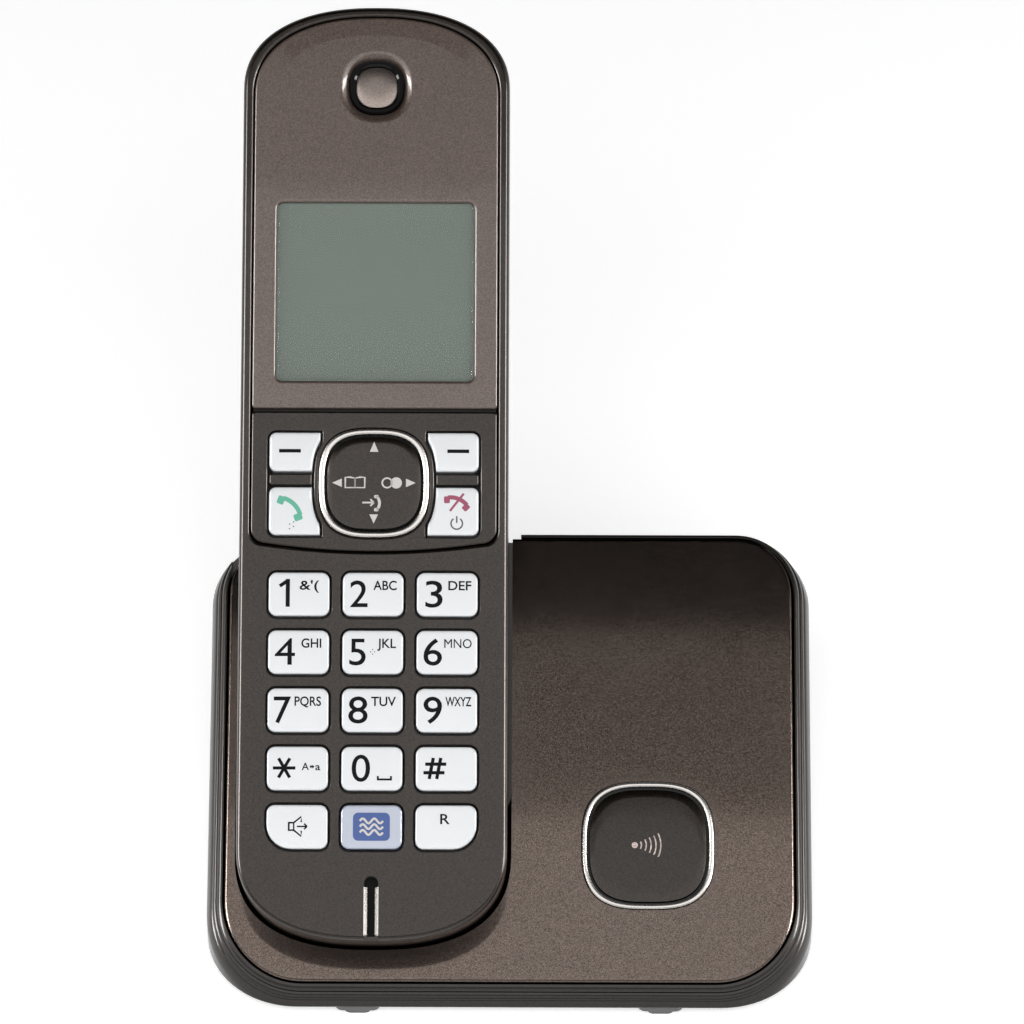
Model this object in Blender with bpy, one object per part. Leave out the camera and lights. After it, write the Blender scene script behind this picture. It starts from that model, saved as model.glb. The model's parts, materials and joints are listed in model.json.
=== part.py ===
"""Cordless telephone handset lying in its wedge-shaped charging base.

Frames (metres, +Z up):
  base     x across, y from the front edge to the back, z up from the table
  plate    the base's sloping top: x across, y up the slope, z out of the plate
  handset  x across, y from the heel to the crown, z out of the face, so depth is -z
Every shape is worked out in one of the three frames and parented to that frame's empty.
"""
import math

import bmesh
import bpy

MM = 0.001

# ---- fits -------------------------------------------------------------------------------
SEAT_GAP = 0.3 * MM            # between pieces that rest on or in each other
KEY_GAP = 0.3 * MM             # round a key in its opening
RING_GAP = 0.5 * MM            # between a bright ring and the button inside it
POCKET_GAP = 0.7 * MM          # round the handset in the base's pocket
POCKET_FLOOR_GAP = 0.4 * MM    # under the handset in the pocket

# ---- base -------------------------------------------------------------------------------
BASE_W = 106 * MM
BASE_D = 88 * MM
BASE_FRONT_R = 16 * MM
BASE_REAR_R = 12 * MM
FOOT_H = 1.9 * MM
BASE_WALL = 2.0 * MM
BASE_FLOOR = 1.4 * MM
CASING_ROUND = 1.0 * MM
PLATE_SLOPE = math.radians(22.0)
PLATE_FRONT_Z = 6.6 * MM
PLATE_LENGTH = 84 * MM         # up the slope
PLATE_SIDE_IN = 2.1 * MM       # plate edge inside the casing's widest line
PLATE_FRONT_IN = 1.0 * MM
PLATE_CORNER_LESS = 1.0 * MM
PLATE_THICK = 2.2 * MM
PLATE_ROUND = 0.7 * MM

# ---- handset ----------------------------------------------------------------------------
HANDSET_W = 47 * MM
HANDSET_FROM_EDGE = 3.5 * MM   # handset's left side to the plate's left edge
HANDSET_LEAN = math.radians(9.5)   # steeper than the plate
HEEL_UP_PLATE = 5.6 * MM
FACE_OVER_PLATE = 10 * MM
SPLIT_DEPTH = 12 * MM          # face to the joint between the two shells
BACK_DEPTH = 23.4 * MM         # face to the flat of the back
HEEL_Z = 7.1 * MM              # height of the heel's flat over the table when docked
HEEL_SOFT = 0.8 * MM
CROWN_ROUND, CROWN_POWER = 15 * MM, 2.3
HEEL_ROUND, HEEL_POWER = 17 * MM, 2.5
END_SHORTEN = 0.35             # how fast an end's curve shortens as its outline moves in
SHELL_WALL = 1.8 * MM
FACE_WALL = 2.0 * MM
FACE_ROUND = 1.2 * MM
BACK_SHAPE = ((3.0, 0.3), (6.0, 1.0), (8.5, 2.4), (10.3, 4.3), (11.4, 6.7))  # mm below the joint, mm in

# ---- display panel, window, ear piece -----------------------------------------------------
PANEL_IN = 2.0 * MM
PANEL_L = 72.3 * MM            # seam under the panel to the tip of the crown
PANEL_SEAM = 0.5 * MM
PANEL_THICK = 1.2 * MM
WINDOW_W, WINDOW_R = 34.8 * MM, 1.2 * MM
WINDOW_FROM_SEAM, WINDOW_FROM_TIP = 4.9 * MM, 35.4 * MM
LENS_THICK = 0.9 * MM
LCD_RIM = 0.7 * MM             # display module beyond the window, all round
LCD_TOP = 1.5 * MM             # depth of its front under the face
EAR_DROP, EAR_HALF, EAR_CAP_HALF = 14.6 * MM, 5.0 * MM, 3.6 * MM

# ---- navigation panel ---------------------------------------------------------------------
NAV_LOW, NAV_HIGH, NAV_SAG, NAV_R = 69.5 * MM, 93.0 * MM, 1.4 * MM, 2.6 * MM
NAV_MID = 80.2 * MM
NAV_RING_HALF, NAV_RING_W = 9.65 * MM, 1.0 * MM
NAV_POWER = 2.9
NAV_LEDGE = 1.6 * MM           # of the front shell under the panel
NAV_LOW_LEDGE = 0.8 * MM
SIDE_KEY_OUT = 18.3 * MM
SIDE_KEY_IN = 9.4 * MM
SIDE_KEY_TO_RING = 1.2 * MM
SIDE_KEY_R = 1.2 * MM
SOFT_KEY_LOW, SOFT_KEY_HIGH = 82.3 * MM, 89.1 * MM
CALL_KEY_LOW, CALL_KEY_HIGH = 71.0 * MM, 79.4 * MM

# ---- number keys --------------------------------------------------------------------------
KEY_W, KEY_H, KEY_R, KEY_BIG_R = 10.6 * MM, 7.6 * MM, 1.4 * MM, 4.2 * MM
KEY_COLUMN, KEY_ROW, KEY_FIRST_ROW = 12.9 * MM, 10.2 * MM, 19.7 * MM
KEY_PROUD, KEY_DEEP, KEY_BEVEL = 0.7 * MM, 2.7 * MM, 0.45 * MM
KEY_NAMES = (("speaker", "wave", "recall"), ("star", "0", "hash"),
             ("7", "8", "9"), ("4", "5", "6"), ("1", "2", "3"))
KEY_TRAVEL = 0.5 * MM

# ---- inside the handset -------------------------------------------------------------------
DOME_TOP = KEY_DEEP + KEY_TRAVEL + 0.1 * MM
MAT_TOP, MAT_THICK = 4.6 * MM, 1.3 * MM
BOARD_THICK = 1.2 * MM
BOARD_LOW, BOARD_IN = 11.5 * MM, 3.5 * MM
CELL_R, CELL_L, CELL_LOW, CELL_DEPTH = 5.1 * MM, 44.5 * MM, 30 * MM, 17.2 * MM
COVER_LOW, COVER_HIGH, COVER_HALF, COVER_THICK = 26 * MM, 84 * MM, 16 * MM, 1.5 * MM
COVER_LEDGE = 3.0 * MM
MIC_MID, MIC_SLOT_W, MIC_SLOT_TOP, MIC_SLOT_DEEP = 10.2 * MM, 2.6 * MM, 11.2 * MM, 0.9 * MM
SHELL_SCREW_X, SHELL_SCREW_UP = 13 * MM, 8.9 * MM   # over the display module
BOSS_R = 2.4 * MM
SPEAKER_R, RINGER_R, RINGER_UP = 8 * MM, 9 * MM, 40.7 * MM   # ringer over the battery cover
RINGER_SLOTS, RINGER_PITCH, RINGER_SLOT_W = 5, 3 * MM, 1.4 * MM

# ---- pocket, contacts -----------------------------------------------------------------------
TUB_WALL = 1.2 * MM
CONTACT_X, CONTACT_Y, CONTACT_W = 10 * MM, 17 * MM, 2.4 * MM
CONTACT_SHEET = 0.5 * MM

# ---- locator button -------------------------------------------------------------------------
LOCATOR_X, LOCATOR_UP = 24.2 * MM, 25.8 * MM
LOCATOR_RING_HALF, LOCATOR_RING_W, LOCATOR_POWER = 11.6 * MM, 0.9 * MM, 3.0
RING_PROUD, RING_SINK = 0.45 * MM, 0.5 * MM
BUTTON_PROUD = 0.3 * MM

# ---- rear sockets, board, feet, screws --------------------------------------------------------
BASE_BOARD_X0, BASE_BOARD_X1, BASE_BOARD_Y0, BASE_BOARD_Z = 4 * MM, 39 * MM, 14 * MM, 4.6 * MM
LINE_SOCKET_X, LINE_SOCKET_W, LINE_SOCKET_L, LINE_SOCKET_H = 19.5 * MM, 15 * MM, 14 * MM, 12.7 * MM
DC_SOCKET_X, DC_SOCKET_W, DC_SOCKET_L, DC_SOCKET_H = 34 * MM, 9 * MM, 12 * MM, 10 * MM
SOCKET_SINK = 0.5 * MM         # socket's face inside the rear wall
LINE_PORT_W, LINE_PORT_H, LINE_PORT_DEEP = 9.8 * MM, 6.8 * MM, 9 * MM
DC_PORT_R, DC_PIN_R, DC_PORT_DEEP = 2.9 * MM, 0.8 * MM, 8 * MM
FOOT_X, FOOT_FRONT_IN, FOOT_REAR_IN, FOOT_L = 26.4 * MM, 0.1 * MM, 3 * MM, 8 * MM
FOOT_BOSS_HALF, FOOT_PAD_HALF, FOOT_PAD_IN = 3.95 * MM, 2.45 * MM, 0.25 * MM
FOOT_PAD_H, FOOT_CORNER = 0.9 * MM, 1.2 * MM
BASE_SCREW_SIDE, BASE_SCREW_FRONT, BASE_SCREW_REAR = 9 * MM, 15 * MM, 6.9 * MM   # in from the edges
SCREW_HEAD_R, SCREW_R = 2.5 * MM, 1.3 * MM

ARC_STEPS = 6
END_STEPS = 20
ROUND_STEPS = 24

# ---- worked out from the sizes above -----------------------------------------------------------
HANDSET_SLOPE = PLATE_SLOPE + HANDSET_LEAN
PLATE_RUN = PLATE_LENGTH * math.cos(PLATE_SLOPE)
PLATE_REAR_IN = BASE_D - PLATE_FRONT_IN - PLATE_RUN
PLATE_REAR_Z = PLATE_FRONT_Z + PLATE_RUN * math.tan(PLATE_SLOPE)
SIDE_FLARE = PLATE_FRONT_Z - FOOT_H
CASING_LOW = FOOT_H + CASING_ROUND + 0.2 * MM
HANDSET_X = HANDSET_FROM_EDGE + HANDSET_W / 2 - (BASE_W / 2 - PLATE_SIDE_IN)
PANEL_LOW = NAV_HIGH + PANEL_SEAM
HANDSET_L = PANEL_LOW + PANEL_L
WINDOW_H = PANEL_L - WINDOW_FROM_SEAM - WINDOW_FROM_TIP
WINDOW_MID = PANEL_LOW + WINDOW_FROM_SEAM + WINDOW_H / 2
EAR_MID = HANDSET_L - EAR_DROP
HEEL_Y = (PLATE_FRONT_IN + HEEL_UP_PLATE * math.cos(PLATE_SLOPE)
          - FACE_OVER_PLATE * math.sin(PLATE_SLOPE))
FACE_Z = (PLATE_FRONT_Z + HEEL_UP_PLATE * math.sin(PLATE_SLOPE)
          + FACE_OVER_PLATE * math.cos(PLATE_SLOPE))
COVER_BACK = BACK_DEPTH + SEAT_GAP + COVER_THICK
POCKET_DEPTH = COVER_BACK + POCKET_FLOOR_GAP
POCKET_Z = HEEL_Z - POCKET_FLOOR_GAP
BOARD_TOP = MAT_TOP + MAT_THICK + SEAT_GAP
LCD_W, LCD_H = WINDOW_W + 2 * LCD_RIM, WINDOW_H + 2 * LCD_RIM
SHELL_SCREW_Y = WINDOW_MID + LCD_H / 2 + SHELL_SCREW_UP
BOARD_HIGH = SHELL_SCREW_Y - BOSS_R - SCREW_HEAD_R - SEAT_GAP
BOARD_HALF = HANDSET_W / 2 - BOARD_IN
RINGER_MID = COVER_HIGH + RINGER_UP
BASE_BOARD_TOP = BASE_BOARD_Z + BOARD_THICK
BASE_SCREWS = ((BASE_W / 2 - BASE_SCREW_SIDE, BASE_SCREW_FRONT),
               (BASE_W / 2 - BASE_SCREW_SIDE, PLATE_FRONT_IN + PLATE_RUN - BASE_SCREW_REAR))


# ================================ outlines ========================================

def rounded(x0, x1, y0, y1, radii, steps=ARC_STEPS):
    """Rectangle with a circular arc on each corner, counter-clockwise from low left."""
    if not isinstance(radii, (tuple, list)):
        radii = (radii,) * 4
    corners = ((x0, y0, 1, 1, 180), (x1, y0, -1, 1, 270), (x1, y1, -1, -1, 0), (x0, y1, 1, -1, 90))
    points = []
    for (x, y, sx, sy, start), r in zip(corners, radii):
        for i in range(steps + 1):
            a = math.radians(start + 90 * i / steps)
            points.append((x + sx * r + r * math.cos(a), y + sy * r + r * math.sin(a)))
    return points


def signed_power(value, power):
    return math.copysign(abs(value) ** power, value)


def squircle(cx, cy, half_x, half_y, power, steps=ROUND_STEPS):
    """Superellipse |x/a|^p + |y/b|^p = 1 about (cx, cy)."""
    points = []
    for i in range(steps):
        a = 2 * math.pi * i / steps
        points.append((cx + half_x * signed_power(math.cos(a), 2 / power),
                       cy + half_y * signed_power(math.sin(a), 2 / power)))
    return points


def circle(cx, cy, r, steps=ROUND_STEPS):
    return squircle(cx, cy, r, r, 2, steps)


def end_arc(half, middle, depth, power, start):
    """Half a superellipse from one side to the other: start 0 is the crown, 180 the heel."""
    points = []
    for i in range(END_STEPS + 1):
        a = math.radians(start + 180 * i / END_STEPS)
        points.append((half * signed_power(math.cos(a), 2 / power),
                       middle + depth * signed_power(math.sin(a), 2 / power)))
    return points


def handset_outline(side=0.0, heel=0.0, crown=0.0):
    """The handset seen on its face, moved in by side, heel and crown on its three edges."""
    half = HANDSET_W / 2 - side
    heel_depth = HEEL_ROUND - END_SHORTEN * heel
    crown_depth = CROWN_ROUND - END_SHORTEN * crown
    low = end_arc(half, heel + heel_depth, heel_depth, HEEL_POWER, 180)
    high = end_arc(half, HANDSET_L - crown - crown_depth, crown_depth, CROWN_POWER, 0)
    return high + low


def panel_outline(grow=0.0):
    """The display panel: the crown's outline moved in, cut straight across below."""
    inset = PANEL_IN - grow
    half = HANDSET_W / 2 - inset
    depth = CROWN_ROUND - END_SHORTEN * inset
    low = PANEL_LOW - grow
    return end_arc(half, HANDSET_L - inset - depth, depth, CROWN_POWER, 0) + [(-half, low), (half, low)]


def nav_outline(grow=0.0):
    """The navigation panel: a rounded rectangle whose lower edge sags in the middle."""
    half = HANDSET_W / 2 - PANEL_IN + grow
    points = rounded(-half, half, NAV_LOW - grow, NAV_HIGH + grow, (NAV_R, NAV_R, 0.5 * MM, 0.5 * MM))
    span = half - NAV_R
    sag = [(x, NAV_LOW - grow - NAV_SAG * (1 - (x / span) ** 2))
           for x in (-0.75 * span, -0.5 * span, -0.25 * span, 0, 0.25 * span, 0.5 * span, 0.75 * span)]
    return points[:ARC_STEPS + 1] + sag + points[ARC_STEPS + 1:]


def base_outline(share, inset=0.0):
    """The base seen from above: share 0 is the casing's foot, share 1 the plate."""
    half = BASE_W / 2 - PLATE_SIDE_IN * share - inset
    front = PLATE_FRONT_IN * share + inset
    rear = BASE_D - PLATE_REAR_IN * share - inset
    less = PLATE_CORNER_LESS * share + inset
    front_r, rear_r = BASE_FRONT_R - less, BASE_REAR_R - less
    return rounded(-half, half, front, rear, (front_r, front_r, rear_r, rear_r))


def plate_z(y):
    """Height of the plate's plane over the table at a distance y from the front."""
    return PLATE_FRONT_Z + (y - PLATE_FRONT_IN) * math.tan(PLATE_SLOPE)


def rear_wall_y(z):
    """Distance of the sloping rear wall from the front at a height over the table."""
    share = (PLATE_REAR_Z - z) / (PLATE_REAR_Z - FOOT_H)
    return PLATE_FRONT_IN + PLATE_RUN + PLATE_REAR_IN * share


def wall_loop(drop, inset=0.0):
    """Points down the casing's side, a vertical distance drop under the plate's plane.

    The sides reach their full width within SIDE_FLARE of the plate and go straight down
    from there; front and rear keep one slope down to the foot.
    """
    loop = []
    for top, foot in zip(base_outline(1, inset), base_outline(0, inset)):
        top_z = plate_z(top[1])
        fall = min(drop, top_z - CASING_LOW)
        out = min(fall / SIDE_FLARE, 1.0)
        back = fall / (top_z - FOOT_H)
        loop.append((top[0] + (foot[0] - top[0]) * out,
                     top[1] + (foot[1] - top[1]) * back, top_z - fall))
    return loop


def heel_inset(depth, lower=0.0, move=0.0):
    """How far the heel's edge is in at a depth.

    Near the face it is straight, moved in by move; deeper it follows a plane level with
    the table when docked, lower than the heel by lower. A hyperbola rounds the change.
    """
    h = (HEEL_Z - lower - FACE_Z + depth * math.cos(HANDSET_SLOPE)) / math.sin(HANDSET_SLOPE) - move
    return (h + math.hypot(h, 2 * HEEL_SOFT)) / 2 + move


def back_loops(inset, depth_less):
    """Outlines from the shells' joint to the flat of the back, moved in by inset."""
    loops = []
    full = BACK_DEPTH - SPLIT_DEPTH
    shape = ((0.0, 0.0),) + BACK_SHAPE
    for below, side in shape:
        depth = SPLIT_DEPTH + SEAT_GAP / 2 + (full - SEAT_GAP / 2) * below / BACK_SHAPE[-1][0]
        heel = heel_inset(depth, -inset, inset)
        outline = handset_outline(side * MM + inset, heel, side * MM + inset)
        loops.append([(x, y, -min(depth, BACK_DEPTH - depth_less)) for x, y in outline])
        if depth >= BACK_DEPTH - depth_less:
            break
    return loops


def pocket_loops(grow, floor_extra):
    """The pocket that the handset lies in, or with more growth the tub round it."""
    loops = []
    for depth in (0.0, 10 * MM, 12 * MM, 14 * MM, 17 * MM, 20.5 * MM, POCKET_DEPTH + floor_extra):
        heel = heel_inset(depth, POCKET_FLOOR_GAP + floor_extra, -grow)
        loops.append([(x, y, -depth) for x, y in handset_outline(-grow, heel, -grow)])
    return loops


# ================================ building ========================================

def clear_scene():
    for obj in list(bpy.data.objects):
        bpy.data.objects.remove(obj, do_unlink=True)


def frame(name, parent=None, location=(0, 0, 0), lean=0.0):
    empty = bpy.data.objects.new(name, None)
    bpy.context.scene.collection.objects.link(empty)
    empty.parent = parent
    empty.location = location
    empty.rotation_euler = (lean, 0, 0)
    return empty


def finish_mesh(name, bm, parent, material=None, smooth=True):
    bmesh.ops.recalc_face_normals(bm, faces=bm.faces)
    mesh = bpy.data.meshes.new(name)
    bm.to_mesh(mesh)
    bm.free()
    if smooth:
        mesh.shade_smooth()
        mesh.set_sharp_from_angle(angle=math.radians(35))
    obj = bpy.data.objects.new(name, mesh)
    bpy.context.scene.collection.objects.link(obj)
    obj.parent = parent
    if material:
        mesh.materials.append(material)
    return obj


def add_loft(bm, loops):
    """Join outlines of equal length one to the next and close both ends."""
    rings = [[bm.verts.new(p) for p in loop] for loop in loops]
    count = len(rings[0])
    for low, high in zip(rings, rings[1:]):
        for i in range(count):
            j = (i + 1) % count
            bm.faces.new((low[i], low[j], high[j], high[i]))
    bm.faces.new(rings[0])
    bm.faces.new(rings[-1])
    return rings


def loft(name, loops, parent, material=None):
    bm = bmesh.new()
    add_loft(bm, loops)
    return finish_mesh(name, bm, parent, material)


def cup(name, outer, inner, parent, material):
    """A shell open at its first loops: outer skin, inner skin and the rim between them."""
    bm = bmesh.new()
    skins = []
    for loops in (outer, inner):
        rings = [[bm.verts.new(p) for p in loop] for loop in loops]
        for low, high in zip(rings, rings[1:]):
            for i in range(len(low)):
                j = (i + 1) % len(low)
                bm.faces.new((low[i], low[j], high[j], high[i]))
        bm.faces.new(rings[-1])
        skins.append(rings[0])
    for i in range(len(skins[0])):
        j = (i + 1) % len(skins[0])
        bm.faces.new((skins[0][i], skins[1][i], skins[1][j], skins[0][j]))
    return finish_mesh(name, bm, parent, material)


def level(outline, z):
    return [(x, y, z) for x, y in outline]


def prism(name, outline, z0, z1, parent, material=None):
    return loft(name, [level(outline, z0), level(outline, z1)], parent, material)


def box(name, x0, x1, y0, y1, z0, z1, parent, material=None):
    outline = [(x0, y0), (x1, y0), (x1, y1), (x0, y1)]
    return prism(name, outline, z0, z1, parent, material)


def cutter(name, prisms, parent):
    """One hidden object made of separate prisms, each (outline, z0, z1)."""
    bm = bmesh.new()
    for outline, z0, z1 in prisms:
        add_loft(bm, [level(outline, z0), level(outline, z1)])
    return hide(finish_mesh(name, bm, parent, smooth=False))


def hide(obj):
    obj.hide_render = True
    obj.display_type = 'WIRE'
    return obj


def combine(obj, other, operation):
    modifier = obj.modifiers.new(other.name, 'BOOLEAN')
    modifier.operation = operation
    modifier.solver = 'EXACT'
    modifier.object = other


def cut(obj, other):
    combine(obj, other, 'DIFFERENCE')


def finish(name, colour, roughness, metallic=0.0):
    material = bpy.data.materials.new(name)
    material.use_nodes = True
    shader = material.node_tree.nodes["Principled BSDF"]
    shader.inputs["Base Color"].default_value = (*colour, 1)
    shader.inputs["Roughness"].default_value = roughness
    shader.inputs["Metallic"].default_value = metallic
    return material


# ================================ keys ============================================

def number_keys():
    """Name, column, row and corner radii of each key; the lowest outer corners are round."""
    for row, names in enumerate(KEY_NAMES):
        for column, name in enumerate(names):
            radii = [KEY_R] * 4
            if row == 0 and column != 1:
                radii[0 if column == 0 else 1] = KEY_BIG_R
            yield name, (column - 1) * KEY_COLUMN, KEY_FIRST_ROW + row * KEY_ROW, radii


def key_outline(x, y, radii, grow=0.0):
    return rounded(x - KEY_W / 2 - grow, x + KEY_W / 2 + grow, y - KEY_H / 2 - grow,
                   y + KEY_H / 2 + grow, [r + grow for r in radii], 3)


def side_keys():
    """Name, side of the centre line and height range of the four keys round the ring."""
    return (("soft_key_left", -1, SOFT_KEY_LOW, SOFT_KEY_HIGH),
            ("soft_key_right", 1, SOFT_KEY_LOW, SOFT_KEY_HIGH),
            ("talk_key", -1, CALL_KEY_LOW, CALL_KEY_HIGH), ("off_key", 1, CALL_KEY_LOW, CALL_KEY_HIGH))


def side_key_outline(side, low, high, grow=0.0):
    """A rounded key whose inner edge follows the ring at a constant distance.

    Each point of the inner edge lies where its height meets a superellipse a little
    larger than the ring, so key, opening and ring stay in step.
    """
    outer, r = SIDE_KEY_OUT + grow, SIDE_KEY_R + grow
    low, high = low - grow, high + grow
    reach = NAV_RING_HALF + SIDE_KEY_TO_RING - grow
    inner = []
    for i in range(9):
        y = low + (high - low) * i / 8
        rise = min(abs(y - NAV_MID) / reach, 1.0)
        x = max(reach * (1 - rise ** NAV_POWER) ** (1 / NAV_POWER), SIDE_KEY_IN - grow)
        inner.append((x, y))
    corner = rounded(inner[0][0], outer, low, high, (0, r, r, 0), 4)
    right = corner[5:15]
    points = [(x, y) for x, y in right] + inner[::-1]
    if side < 0:
        points = [(-x, y) for x, y in points[::-1]]
    return points


# ================================ handset =========================================

def build_handset(at, base, m):
    front_loops = [level(handset_outline(), -SPLIT_DEPTH + SEAT_GAP / 2)]
    for i in range(4):
        a = math.radians(30 * i)
        inset = FACE_ROUND * (1 - math.cos(a))
        front_loops.append(level(handset_outline(inset, inset, inset), -FACE_ROUND * (1 - math.sin(a))))
    w = SHELL_WALL
    front_inner = [level(handset_outline(w, w, w), -SPLIT_DEPTH + SEAT_GAP / 2),
                   level(handset_outline(w, w, w), -FACE_WALL)]
    front = cup("handset_front_shell", front_loops, front_inner, at, m["brown"])
    back = cup("handset_back_shell", back_loops(0, 0), back_loops(w, w), at, m["brown"])

    recess = -PANEL_THICK - SEAT_GAP
    top = 2 * MM
    nav_half = HANDSET_W / 2 - PANEL_IN - NAV_LEDGE
    cut(front, cutter("panel_recess", [(panel_outline(SEAT_GAP), recess, top)], at))
    cut(front, cutter("nav_recess", [(nav_outline(SEAT_GAP), recess, top)], at))
    through = [(rounded(-LCD_W / 2 - SEAT_GAP, LCD_W / 2 + SEAT_GAP, WINDOW_MID - LCD_H / 2 - SEAT_GAP,
                        WINDOW_MID + LCD_H / 2 + SEAT_GAP, WINDOW_R, 2), -4 * MM, top),
               (circle(0, EAR_MID, EAR_HALF), -4 * MM, top),
               (rounded(-nav_half, nav_half, CALL_KEY_LOW - NAV_LOW_LEDGE, NAV_HIGH - NAV_LEDGE, SIDE_KEY_R, 2),
                -4 * MM, top)]
    through += [(key_outline(x, y, radii, KEY_GAP), -4 * MM, top) for _, x, y, radii in number_keys()]
    cut(front, cutter("face_openings", through, at))
    slot = rounded(-MIC_SLOT_W / 2, MIC_SLOT_W / 2, -5 * MM, MIC_SLOT_TOP,
                   (0.1 * MM, 0.1 * MM, MIC_SLOT_W / 2.01, MIC_SLOT_W / 2.01), 4)
    cut(front, cutter("mic_slot", [(slot, -MIC_SLOT_DEEP, top)], at))
    cut(front, cutter("mic_hole", [(circle(0, MIC_MID, 0.6 * MM, 10), -4 * MM, top)], at))
    build_shell_screws(front, back, at, m)
    build_battery(back, at, m)
    build_charge_pads(front, back, base, m)
    slots = []
    for i in range(RINGER_SLOTS):
        y = RINGER_MID + (i - (RINGER_SLOTS - 1) / 2) * RINGER_PITCH
        outline = rounded(-6 * MM, 6 * MM, y - RINGER_SLOT_W / 2, y + RINGER_SLOT_W / 2, 0.6 * MM, 2)
        slots.append((outline, -BACK_DEPTH - 6 * MM, -BACK_DEPTH + 4 * MM))
    cut(back, cutter("ringer_slots", slots, at))
    build_display(at, m)
    build_nav(at, m)
    build_keys(at, m)
    build_boards(at, m)


def build_shell_screws(front, back, at, m):
    """Two bosses under the face, and the screws that come up through the back shell."""
    for i, side in enumerate((-1, 1), 1):
        x, y = side * SHELL_SCREW_X, SHELL_SCREW_Y
        boss = hide(prism(f"shell_boss_{i}", circle(x, y, BOSS_R, 12), -SPLIT_DEPTH,
                          -FACE_WALL + 0.2 * MM, at))
        combine(front, boss, 'UNION')
        hole = circle(x, y, SCREW_R + SEAT_GAP, 10)
        cut(front, cutter(f"shell_boss_hole_{i}", [(hole, -16 * MM, -5 * MM)], at))
        low = -BACK_DEPTH - 2 * MM
        head_top = -BACK_DEPTH + 1.2 * MM
        cut(back, cutter(f"shell_screw_way_{i}", [
            (circle(x, y, SCREW_HEAD_R + SEAT_GAP, 12), low, head_top + SEAT_GAP)], at))
        cut(back, cutter(f"shell_screw_hole_{i}", [
            (circle(x, y, SCREW_R + SEAT_GAP, 10), -BACK_DEPTH, -SPLIT_DEPTH)], at))
        screw = prism(f"handset_screw_{i}", circle(x, y, SCREW_HEAD_R, 12), -BACK_DEPTH + 0.3 * MM, head_top, at,
                      m["steel"])
        shank = hide(prism(f"screw_shank_{i}", circle(x, y, SCREW_R, 10), head_top - 0.4 * MM, -6 * MM, at))
        combine(screw, shank, 'UNION')


def build_battery(back, at, m):
    """Two cells behind the board, their contact plates, and the sliding cover over them."""
    ledge = COVER_LEDGE
    cut(back, cutter("battery_opening", [(rounded(-COVER_HALF + ledge, COVER_HALF - ledge, COVER_LOW + ledge,
                     COVER_HIGH - 2 * ledge, 1 * MM, 2), -30 * MM, -SPLIT_DEPTH - 4 * MM)], at))
    for side, name in ((-1, "left"), (1, "right")):
        x = side * (CELL_R + SEAT_GAP)
        bm = bmesh.new()
        add_loft(bm, [[(px, y, pz) for px, pz in circle(x, -CELL_DEPTH, CELL_R, 20)]
                      for y in (CELL_LOW, CELL_LOW + CELL_L)])
        finish_mesh(f"battery_cell_{name}", bm, at, m["cell"])
    for name, y in (("lower", CELL_LOW - 0.8 * MM), ("upper", CELL_LOW + CELL_L + SEAT_GAP)):
        box(f"battery_contact_{name}", -9.5 * MM, 9.5 * MM, y, y + 0.5 * MM,
            -CELL_DEPTH - 3.5 * MM, -CELL_DEPTH + 3.5 * MM, at, m["contact"])
    outline = [rounded(-COVER_HALF + i, COVER_HALF - i, COVER_LOW + i, COVER_HIGH - i, 3 * MM)
               for i in (0, 0, 0.8 * MM)]
    depths = (COVER_BACK - COVER_THICK, COVER_BACK - 0.6 * MM, COVER_BACK)
    loft("battery_cover", [level(o, -d) for o, d in zip(outline, depths)], at, m["brown"])


def build_charge_pads(front, back, base, m):
    """Contact pads in the heel, straight over the base's sprung contacts."""
    reach = 3.2 * MM
    low = HEEL_Z + 0.9 * MM
    for side, name in ((-1, "left"), (1, "right")):
        x = HANDSET_X + side * CONTACT_X
        half = CONTACT_W / 2 + 0.4 * MM
        way = cutter(f"pad_way_{name}", [([(x - half, CONTACT_Y - reach), (x + half, CONTACT_Y - reach),
                     (x + half, CONTACT_Y + reach), (x - half, CONTACT_Y + reach)], HEEL_Z - 2 * MM, low + 2 * MM)],
                     base)
        cut(back, way)
        half -= SEAT_GAP
        box(f"handset_contact_{name}", x - half, x + half, CONTACT_Y - reach + SEAT_GAP,
            CONTACT_Y + reach - SEAT_GAP, low, low + 0.8 * MM, base, m["contact"])


def build_display(at, m):
    panel = prism("display_panel", panel_outline(), -PANEL_THICK, 0, at, m["mocha"])
    half_w, half_h = WINDOW_W / 2, WINDOW_H / 2
    window = rounded(-half_w, half_w, WINDOW_MID - half_h, WINDOW_MID + half_h, WINDOW_R, 3)
    ear = squircle(0, EAR_MID, EAR_HALF, EAR_HALF, 2.4)
    cut(panel, cutter("panel_openings", [(window, -4 * MM, 4 * MM), (ear, -4 * MM, 4 * MM)], at))
    g = SEAT_GAP
    lens = rounded(-half_w + g, half_w - g, WINDOW_MID - half_h + g, WINDOW_MID + half_h - g, WINDOW_R - g, 3)
    prism("lcd_lens", lens, -0.1 * MM - LENS_THICK, -0.1 * MM, at, m["clear"])
    prism("lcd_module", rounded(-LCD_W / 2, LCD_W / 2, WINDOW_MID - LCD_H / 2, WINDOW_MID + LCD_H / 2,
                                WINDOW_R, 2), -BOARD_TOP + SEAT_GAP, -LCD_TOP, at, m["lcd"])
    c = EAR_CAP_HALF
    loft("ear_cap", [level(squircle(0, EAR_MID, c * s, c * s, 2.4), -z * MM)
                     for s, z in ((0.9, 1.9), (1.0, 1.4), (1.0, 0.7), (0.8, 0.35))], at, m["brown"])
    prism("ear_speaker", circle(0, EAR_MID, SPEAKER_R), -7 * MM, -FACE_WALL - SEAT_GAP, at, m["black"])


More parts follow.
